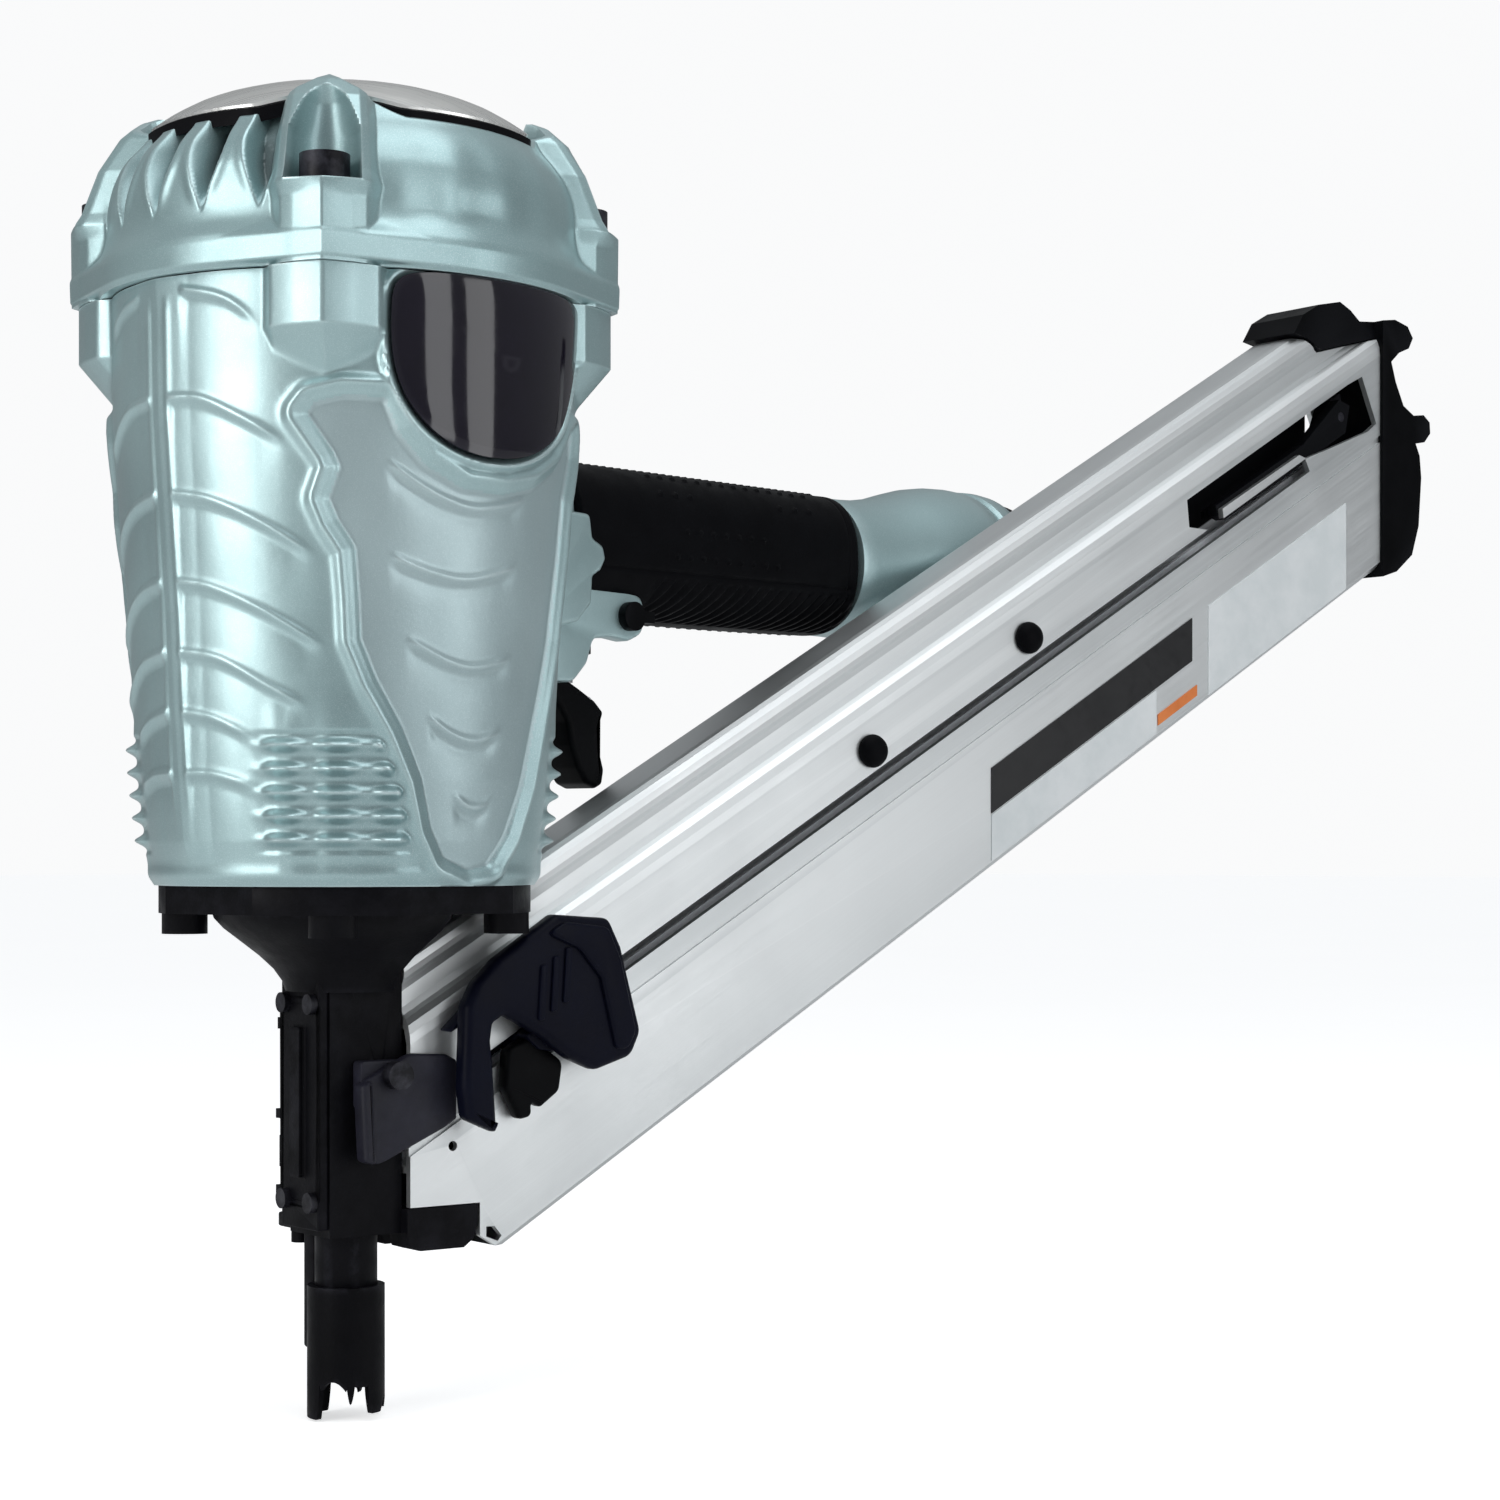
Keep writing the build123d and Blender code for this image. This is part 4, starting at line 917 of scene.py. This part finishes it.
# rounded lug for the selector and the trigger ear: x, z, corner radius
LUG = rounded([
    (48, 196.5, 2), (48, 206, 2), (88.0, 204.6, 3.5), (94.4, 202.6, 4.5), (94.6, 192.8, 5.5),
    (88.5, 190.2, 5.0), (82, 191.0, 4), (75, 190.5, 3), (72.5, 183.5, 5), (67, 178.0, 5),
    (54, 178.2, 6)], steps=5)
EAR = rounded([
    (46, 190, 2), (46, 224, 1), (68.6, 223.4, 2.0), (69.6, 216.9, 1.5), (73.6, 215.0, 2.0),
    (74.6, 211.6, 2.0), (72.7, 208.4, 1.6), (69.6, 206.6, 1.5), (69.2, 199.4, 2.5),
    (64, 194.0, 3)], steps=5)


def tube(outer, inner, n=72):
    """Superellipse sections along x, out along the outer rows and back along the inner."""
    t = np.linspace(0, 2 * math.pi, n, endpoint=False)
    c, s = np.cos(t), np.sin(t)
    rows = []
    for x, half_width, half_height, power, centre in outer + inner[::-1]:
        y = half_width * np.sign(c) * np.abs(c) ** (2 / power)
        z = half_height * np.sign(s) * np.abs(s) ** (2 / power)
        rows.append(np.c_[np.full(n, x), y, centre + z])
    return closed_grid(rows)


def build_handle():
    bore = [(x, HANDLE_BORE, HANDLE_BORE, 2.0, HANDLE_Z) for x in (50, 262)]
    root_bore = [(x, 15.5, 17.6, 2.2, HANDLE_Z) for x in (46, 65.8)]
    cheeks = [slab_y(outline, low, high, bevel) for outline, low, high, bevel in (
        (LUG, 9.4, 15.2, 1.3), (LUG, -15.2, -9.4, 1.3),
        (EAR, 14.0, 20.4, 1.5), (EAR, -20.4, -14.0, 1.5))]
    core = tube([(*row, HANDLE_Z) for row in HANDLE_CORE], bore)
    make("handle_casting", join([core, tube(HANDLE_ROOT, root_bore)] + cheeks), "frame",
         (BODY_PAINT,), "main_housing", smooth=42)


build_handle()

# ---------------------------------------------------------------- rubber grip
GRIP_START, GRIP_END = 66.0, 183.6
# rows of pimples: arc from the top, first x, last x, count, height
PIMPLE_ROWS = ((17.5, 100, 112, 3, 0.75), (17.5, 150, 163, 3, 0.75), (28.0, 108, 140, 7, 0.75),
               (35.5, 104, 146, 9, 0.75), (10.5, 100, 166, 14, 0.6))


def pimples(x, arc, row_arc, first, last, count, height):
    raised = np.zeros_like(x)
    for centre in np.linspace(first, last, count):
        distance = np.hypot(x - centre, arc - row_arc)
        raised = np.maximum(raised, np.clip(1 - (distance / 0.85) ** 2, 0, 1) ** 0.6 * height)
    return raised


def grip():
    """Sleeve with pimples, a knurled top and slanting ribs along the lower edges."""
    x, angle = np.meshgrid(np.linspace(GRIP_START, GRIP_END, 300),
                           np.linspace(-180, 180, 300, endpoint=False), indexing="ij")
    # angle is 0 at the top and positive towards +Y
    c, s = np.sin(np.radians(angle)), np.cos(np.radians(angle))
    half_width, half_height, power = 18.9, 20.9, 2.5
    r = (np.abs(c / half_width) ** power + np.abs(s / half_height) ** power) ** (-1 / power)
    # palm swell below, rounded ends and a parting line near the +X end
    share = np.clip((x - GRIP_START) / (GRIP_END - GRIP_START), 0, 1)
    r = r + 0.7 * np.sin(np.pi * share) * np.clip(-s, 0, 1)
    from_end = np.minimum(x - GRIP_START, GRIP_END - x)
    r = r - 2.2 * np.clip(1 - from_end / 2.2, 0, 1) ** 2.2 - 0.35 * bell(x - 178.6, 0.5)
    arc = np.abs(angle) * math.pi / 180 * 20.0
    for row in PIMPLE_ROWS:
        r = r + pimples(x, arc, *row)
    # slanting ribs, one every 4.4 mm
    ribs = np.clip(0.5 + 0.95 * np.cos(2 * np.pi * (x + 0.8 * (arc - 50)) / 4.4), 0, 1)
    r = r + ((0.75 * ribs - 0.35) * window(arc, 41.5, 43.5, 56.5, 58.5)
             * smoothstep(96, 99, x) * smoothstep(2, 4, GRIP_END - x))
    # shallow grooves above and below the side panel
    groove = np.minimum(np.abs(arc - 5.5), np.abs(arc - 40.2))
    r = r - 0.5 * bell(groove, 0.55) * smoothstep(3, 5, from_end)
    # knurl along the top, one every 3 mm
    top = (1 - smoothstep(3.8, 4.6, arc)) * smoothstep(4, 6, from_end)
    r = r + 0.45 * top * np.clip(np.cos(2 * np.pi * x / 3.0), 0, 1)
    outside = np.stack([x, r * c, HANDLE_Z + r * s], -1)
    inside = np.stack([x, 15.6 * c, HANDLE_Z + 17.8 * s], -1)
    return closed_grid(np.concatenate([outside, inside[::-1]]))


make("grip_sleeve", grip(), "frame", (RUBBER,), "handle_grip", smooth=46)

# ---------------------------------------------------------------- pusher (rail frame)
# along, across, corner radius
PUSHER_HOOK = [
    (70.5, 80.6, 3), (76.2, 84.2, 4), (85.0, 86.2, 6), (105.6, 87.0, 2.5), (119.6, 77.6, 3),
    (119.2, 69.0, 4), (113.4, 46.4, 4.5), (107.6, 42.4, 4.5), (96.0, 45.2, 4),
    (90.8, 52.0, 4), (86.6, 61.0, 4), (82.2, 68.6, 2.5), (79.4, 72.6, 2), (75.4, 72.6, 2),
    (72.6, 69.0, 3), (69.5, 62.0, 6), (62.4, 47.6, 0.8), (56.4, 55.6, 2.5), (59.4, 63.0, 6)]
PUSHER_LIP = [
    (100.0, 84.6, 2), (106.4, 84.4, 3), (117.2, 76.4, 3), (116.4, 67.0, 3), (111.2, 48.2, 4),
    (106.8, 45.2, 3), (103.4, 47.2, 2), (108.6, 66, 3), (106.6, 76, 4)]
CATCH_LOBE = [
    (72.6, 44.4, 2), (76.6, 43.0, 2), (78.0, 46.4, 1), (80.0, 43.6, 1), (87.0, 44.2, 3),
    (91.8, 50.2, 3), (89.4, 55.4, 3), (86, 61.5, 3), (78.8, 62.4, 3), (73.0, 54.0, 2)]
# pads behind the hook: along, across
UPPER_PAD = [(66, 76.2), (104, 84), (111.5, 80), (112, 75.4), (66, 75.4)]
LOWER_PAD = [(84.4, 62.9), (112, 62.9), (110, 52), (96, 50), (86.4, 57.4)]
PUSHER_ARM = [(84, 59.0), (104, 59.0), (104, 62.6), (84, 62.6)]
RIB = [(86.5, 66.4), (94.5, 78.4), (96.4, 77.6), (88.4, 65.6)]
RIB_PITCH = 4.4


def build_pusher():
    parts = [slab(rounded(PUSHER_HOOK, steps=6), 19.2, 25.6, bevel=2.3, steps=5),
             slab(rounded(PUSHER_LIP, steps=4), 25.0, 27.0, bevel=0.9)]
    parts += [slab(rounded(pad, steps=3, radius=1.2), 14.5, 20.0, bevel=0.5, steps=2)
              for pad in (UPPER_PAD, LOWER_PAD)]
    parts.append(slab(PUSHER_ARM, 7.0, 15.0, bevel=0.2, steps=2))
    for k in range(3):
        rib = [(along + k * RIB_PITCH, across) for along, across in RIB]
        parts.append(slab(rounded(rib, steps=3, radius=0.7), 25.2, 26.5, bevel=0.5, steps=2))
    make("pusher_handle", join(parts), "pusher", (BLUE_BLACK,),
         "pusher_grip", frame=RAIL)
    make("catch_lobe", slab(rounded(CATCH_LOBE, steps=5), 14.45, 18.9, bevel=1.2, steps=4),
         "pusher", (NYLON,), "pusher_catch", frame=RAIL)


build_pusher()

# ---------------------------------------------------------------- clamp plate (upright frame)
# run, height, corner radius
CLAMP_PLATE = [(-3.6, 63.8, 4.5), (-4.8, 86.6, 4.5), (9.2, 93.2, 5), (20, 92.6, 2),
               (23, 91, 1), (23, 76, 1), (19.6, 73.9, 1)]
CLAMP_EDGE = [(-4.6, 66.5), (-5.6, 85.6), (-2.4, 87.4), (-1.2, 65.4)]
CLAMP_BACK = [(-4.0, 79.6), (-4.0, 91.6), (10.2, 91.6), (10.2, 79.6)]


def clamp():
    return join([
        slab(rounded(CLAMP_PLATE, steps=5), 14.1, 17.0, bevel=0.9, steps=4),
        slab(rounded(CLAMP_EDGE, steps=4, radius=1.6), 13.0, 18.4, bevel=1.2, steps=4),
        slab(rounded(CLAMP_BACK, steps=3, radius=1), 10.6, 15.0, bevel=0.3, steps=2)])


make("clamp_plate", clamp(), "frame", (CLAMP,), "magazine_clamp",
     frame=UPRIGHT)

# ---------------------------------------------------------------- contact foot
FOOT_RADIUS, FOOT_WALL, FOOT_TOP = 9.9, 1.68, 21.7
FOOT_EDGE = -2.0          # z of the lower edge between the teeth
FOOT_FACE = -48.0         # angle that the row of teeth is centred on
# start and end across the face, z of the tip, run-out of the flanks
FOOT_TEETH = ((-10.5, -5.6, -11.9, 0.9), (1.4, 3.6, -7.6, 0.9), (6.6, 10.2, -10.4, 0.9))


def foot_sleeve():
    """Sleeve with three teeth and an arch, repeated on the opposite side."""
    angle = np.linspace(-180, 180, 240, endpoint=False)
    x = FOOT_RADIUS * np.sin(np.radians(turn_from(angle, FOOT_FACE)))
    edge = np.full(len(angle), FOOT_EDGE)
    for start, end, tip, flank in FOOT_TEETH:
        share = np.clip(np.minimum(x - start, end - x) / flank, 0, 1)
        tooth = FOOT_EDGE + (tip - FOOT_EDGE) * share ** 0.6
        edge = np.where(share > 0, np.minimum(edge, tooth), edge)
    arch = FOOT_EDGE - 2.6 * ((x + 2.1) / 3.5) ** 2
    edge = np.where((x > -5.6) & (x < 1.4), arch, edge)
    edge = np.where((x >= 3.6) & (x <= 6.6), -3.4, edge)
    rows = [polar(FOOT_RADIUS, angle, FOOT_TOP + (edge - FOOT_TOP) * k)
            for k in np.linspace(0, 1, 14)]
    rows += [polar(FOOT_RADIUS - FOOT_WALL, angle, FOOT_TOP + (edge - FOOT_TOP) * k)
             for k in np.linspace(1, 0.45, 8)]
    rows.append(polar(8.15, angle, FOOT_TOP))
    return closed_grid(rows)


def foot_collar():
    """Square-section ring inside the sleeve."""
    t = np.linspace(0, 2 * math.pi, 64, endpoint=False)
    rows = [np.c_[r * np.cos(t), r * np.sin(t), np.full(len(t), z)]
            for r, z in ((4.5, 0.0), (8.6, 0.0), (8.6, 4.4), (4.5, 4.4))]
    return closed_grid(rows)


def foot_stalk():
    """Upright bar beside the sleeve and a level shelf over it (nose frame)."""
    bar = [(-5, 4.2, 1), (5, 4.2, 1), (5, 38, 1.5), (-5, 38, 1.5)]           # run, z
    shelf = [(-5, 11.4, 1), (5, 11.4, 1), (5, 28.2, 2), (-5, 28.2, 2)]       # run, far side
    return join([slab_y(rounded(bar, steps=3), 8.3, 13.6, bevel=0.8),
                 slab(rounded(shelf, steps=3), 34.2, 37.9, bevel=0.5, steps=2)])


make("foot_sleeve", join([foot_sleeve(), foot_collar()]), "contact_foot", (FOOT_BLACK,),
     "contact_foot", smooth=38)
make("foot_stalk", foot_stalk(), "contact_foot", (FOOT_BLACK,),
     "contact_foot", smooth=38, frame=NOSE)

# ---------------------------------------------------------------- trigger
# x, z, corner radius
TRIGGER = [
    (58, 189, 2), (66, 189, 2), (69.5, 184, 3), (73.4, 179.5, 3), (78, 177.3, 3),
    (84, 174.2, 2.5), (87.6, 171.0, 1.5), (85.8, 166.5, 4), (86.2, 160, 4), (87.8, 155, 3),
    (87.0, 151.0, 1.6), (84.4, 149.8, 1.6), (80.6, 151.2, 2.5), (77.4, 155.5, 4),
    (75.0, 161.5, 4), (73.6, 168, 4), (67.6, 175.5, 4), (61, 180, 2), (58, 184, 2)]
make("trigger_moulding", slab_y(rounded(TRIGGER, steps=4), -6.6, 6.6, bevel=1.6, steps=5),
     "trigger", (NYLON,), "trigger")

# ---------------------------------------------------------------- nose web
# radius, z
WEB_PROFILE = [(12.0, 97.0), (15.4, 97.0), (16.2, 99.5), (18.4, 102.6), (22.0, 106.0),
               (26.6, 109.6), (31.0, 113.0), (33.4, 115.6), (34.0, 117.3), (12.0, 117.3)]


def nose_web():
    """Arched web under the nose flange, open towards the magazine (nose frame)."""
    angles = np.radians(np.linspace(128, 292, 56))
    points = [(r * math.cos(a), r * math.sin(a), z) for a in angles for r, z in WEB_PROFILE]
    return points, ring_faces(len(angles), len(WEB_PROFILE))


make("nose_web", nose_web(), "frame", (BLACK,), smooth=38, frame=NOSE)

# ---------------------------------------------------------------- rubber buttons
BUTTON_CENTRES = ((162.4, 173.1), (222.3, 207.9))      # run, height
BUTTON_SIDES = 40
# radius, sideways place; both ends lie on the button's axis
BUTTON_PROFILE = [(0.0, 18.2), (1.6, 18.1), (3.0, 17.6), (4.0, 16.8), (4.65, 15.6),
                  (4.8, 14.9), (4.7, 14.15), (1.9, 14.12), (1.9, 12.2), (0.0, 12.2)]


def button(run, height):
    """Domed button on the magazine's flank, with one point at each pole."""
    last = len(BUTTON_PROFILE) - 1

    def index(i, j):
        if i == 0 or j in (0, last):
            return j
        return last + 1 + (i - 1) * (last - 1) + j - 1

    points, faces = [], []
    for i in range(BUTTON_SIDES):
        a = 2 * math.pi * i / BUTTON_SIDES
        i2 = (i + 1) % BUTTON_SIDES
        for j, (r, out) in enumerate(BUTTON_PROFILE):
            if i == 0 or 0 < j < last:
                points.append((run + r * math.cos(a), height + r * math.sin(a), out))
        for j in range(last):
            corners = (index(i, j), index(i, j + 1), index(i2, j + 1), index(i2, j))
            faces.append(tuple(dict.fromkeys(corners)))      # triangles at the poles
    return points, faces


make("button_domes", join([button(*centre) for centre in BUTTON_CENTRES]), "frame",
     (RUBBER,), "rubber_buttons", frame=UPRIGHT)

# ---------------------------------------------------------------- coil springs
# piece, the joint that presses it, z of its fixed end in metres, share of its length kept
SPRINGS = (("head_valve_spring", "head_valve_lift", 0.290, 0.74),
           ("contact_arm_spring", "contact_arm_slide", 0.117, 0.60),
           ("valve_spring", "plunger_slide", 0.214, 0.825))


def build_spring(piece, joint, anchor_z, keep):
    """Copy a CAD spring with its doubled points merged; the joint is not used."""
    source = NODES[piece].data
    matrix = np.array(NODES[piece].matrix_world, float)
    points = np.array([v.co for v in source.vertices], float) @ matrix[:3, :3].T
    points = points + matrix[:3, 3]
    _, first, merged = np.unique(np.round(points * 1e6).astype(np.int64), axis=0,
                                 return_index=True, return_inverse=True)
    merged = np.asarray(merged).ravel()
    faces = [tuple(int(merged[i]) for i in polygon.vertices) for polygon in source.polygons]
    faces = [face for face in faces if len(set(face)) == len(face)]
    coil = make(piece.replace("_spring", "_coil"), (points[first] * 1000.0, faces), "frame",
                (STEEL,), piece, smooth=50)
    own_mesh(coil)


for spring in SPRINGS:
    build_spring(*spring)

# ---------------------------------------------------------------- CAD pieces
PIECES = (
    (BADGE, "badge"),
    (BOLT, "bracket_bolts cap_bolts clamp_bolt cover_screws end_cap_bolts nose_bolts "
           "pusher_shoe stopper_pin tail_bolts tail_nuts trigger_pin"),
    (PLAIN_ALUMINIUM, "chamber_plate cylinder head_valve piston"),
    (BLACK, "contact_arm end_cap handle_bracket magazine_clamp nose_body nose_cover "
            "stopper_frame"),
    (STEEL, "contact_arm_spring driver_blade drum_pin head_valve_spring spring_drum "
            "trigger_arm trigger_arm_pin valve_plunger valve_spring"),
    (FOOT_BLACK, "contact_foot depth_knob"),
    (RUBBER, "cylinder_ring handle_grip head_valve_ring piston_bumper piston_ring "
             "rubber_buttons valve_oring"),
    (GASKET, "end_cap_gasket exhaust_seal head_gasket plate_gasket"),
    (SILVER, "exhaust_plate"),
    (BODY_PAINT, "head_cap main_housing"),
    (FILM_DARK, "label_dark"),
    (FILM_PALE, "label_light"),
    (FILM_ORANGE, "label_stripe"),
    (ALUMINIUM, "magazine_body"),
    (NYLON, "magazine_tail mode_selector nail_stopper pusher_catch trigger valve_body"),
    (GUIDE, "nail_guides"),
    (BLUE_BLACK, "pusher_grip"))
# piece, bevel width in mm, segments
SOFT_EDGES = (("magazine_tail", 1.7, 4), ("nose_body", 0.5, 2), ("nose_cover", 0.6, 2),
              ("handle_bracket", 0.8, 3), ("contact_arm", 0.4, 2), ("mode_selector", 0.4, 2),
              ("end_cap", 0.5, 2))


def dress_pieces():
    material_of = {name: material for material, names in PIECES for name in names.split()}
    for name, ob in NODES.items():
        ob.data.materials.clear()
        ob.data.materials.append(material_of[name])
    for name, width, segments in SOFT_EDGES:
        weld = NODES[name].modifiers.new("weld", "WELD")
        weld.merge_threshold = 0.000005
        bevel = NODES[name].modifiers.new("soft_edges", "BEVEL")
        bevel.width = width * 0.001
        bevel.segments = segments
        bevel.limit_method = "ANGLE"
        bevel.angle_limit = math.radians(32)


dress_pieces()

# ---------------------------------------------------------------- floor, light, camera (metres)
FLOOR_Z = -0.0125
FLOOR_HALF = 14.0
BACKDROP = (0.955, 0.96, 0.965, 1)


def floor_paper():
    """Pale paper that glows for the camera only, to melt into the backdrop."""
    m = new_shader("floor_paper")
    base = m.mix(m.spots(scale=3.0, detail=3.0, rough=0.5, over=(0.3, 0.7)),
                 (0.90, 0.90, 0.90), (0.915, 0.915, 0.915))
    sheen = m.spots(scale=40.0, detail=3.0, rough=0.5, over=(0.3, 0.7), to=(0.65, 0.75))
    m.put(base=base, rough=sheen, specular=0.1)
    m.surface.inputs["Emission Color"].default_value = BACKDROP
    glow = m.times(m.node("LightPath").outputs["Is Camera Ray"], 0.62)
    m.feed(glow, m.surface.inputs["Emission Strength"])
    return m.material


def build_floor():
    steps = np.linspace(-1, 1, 24)
    x, y = np.meshgrid(steps, steps, indexing="ij")
    points, faces = grid(np.stack([x * FLOOR_HALF, y * FLOOR_HALF,
                                   np.full_like(x, FLOOR_Z)], -1))
    data = bpy.data.meshes.new("pale_floor")
    data.from_pydata(points.tolist(), [], faces)
    ob = bpy.data.objects.new("pale_floor", data)
    SCENE.collection.objects.link(ob)
    data.materials.append(floor_paper())


def build_world():
    """Plain backdrop for the camera, a grey gradient for everything else."""
    world = bpy.data.worlds.new("studio")
    SCENE.world = world
    world.use_nodes = True
    nodes, link = world.node_tree.nodes, world.node_tree.links.new
    backdrop = next(n for n in nodes if n.type == "BACKGROUND")
    output = next(n for n in nodes if n.type == "OUTPUT_WORLD")
    backdrop.inputs["Color"].default_value = BACKDROP
    backdrop.inputs["Strength"].default_value = 1.0
    surroundings = nodes.new("ShaderNodeBackground")
    surroundings.inputs["Strength"].default_value = 0.85
    separate = nodes.new("ShaderNodeSeparateXYZ")
    link(nodes.new("ShaderNodeTexCoord").outputs["Generated"], separate.inputs[0])
    ramp = nodes.new("ShaderNodeValToRGB")
    link(separate.outputs["Z"], ramp.inputs["Fac"])
    horizon, zenith = ramp.color_ramp.elements
    horizon.position = 0.0
    horizon.color = (0.20, 0.205, 0.215, 1)
    zenith.position = 1.0
    zenith.color = (0.62, 0.64, 0.66, 1)
    ramp.color_ramp.elements.new(0.35).color = (0.30, 0.31, 0.32, 1)
    link(ramp.outputs["Color"], surroundings.inputs["Color"])
    choose = nodes.new("ShaderNodeMixShader")
    link(nodes.new("ShaderNodeLightPath").outputs["Is Camera Ray"], choose.inputs["Fac"])
    link(surroundings.outputs[0], choose.inputs[1])
    link(backdrop.outputs[0], choose.inputs[2])
    link(choose.outputs[0], output.inputs["Surface"])


def area_light(name, place, target, size, watts, colour, size_y=None):
    light = bpy.data.lights.new(name, "AREA")
    light.energy = watts
    light.color = colour
    light.size = size
    if size_y:
        light.shape = "RECTANGLE"
        light.size_y = size_y
    ob = bpy.data.objects.new(name, light)
    SCENE.collection.objects.link(ob)
    ob.location = place
    aim = Vector(target) - Vector(place)
    ob.rotation_euler = aim.to_track_quat("-Z", "Y").to_euler()


def build_camera():
    camera = bpy.data.cameras.new("photo_camera")
    camera.lens = 72
    camera.sensor_width = 36
    camera.shift_y = 0.0667
    camera.clip_start = 0.01
    camera.clip_end = 60
    ob = bpy.data.objects.new("photo_camera", camera)
    SCENE.collection.objects.link(ob)
    ob.location = (-0.50233, -0.59170, 0.13287)
    ob.rotation_euler = (math.radians(90), 0, math.radians(-48))
    SCENE.camera = ob


build_floor()
build_world()
area_light("key_left", place=(-1.0, 0.08, 0.46), target=(0.0, 0.0, 0.19), size=0.50,
           size_y=0.80, watts=5.2, colour=(1.0, 0.995, 0.985))
area_light("top_soft", place=(0.0, -0.35, 1.05), target=(0.1, 0.0, 0.15), size=0.7,
           watts=3.2, colour=(0.97, 0.985, 1.0))
area_light("front_fill", place=(0.02, -1.15, 0.50), target=(0.1, 0.0, 0.15), size=0.30,
           size_y=0.7, watts=1.5, colour=(0.97, 0.985, 1.0))
area_light("rail_card", place=(0.42, -0.96, 0.20), target=(0.08, 0.0, 0.15), size=0.28,
           size_y=0.85, watts=1.6, colour=(0.98, 0.99, 1.0))
build_camera()
SCENE.view_settings.view_transform = "Standard"
SCENE.view_settings.look = "None"
SCENE.view_settings.exposure = 0.0
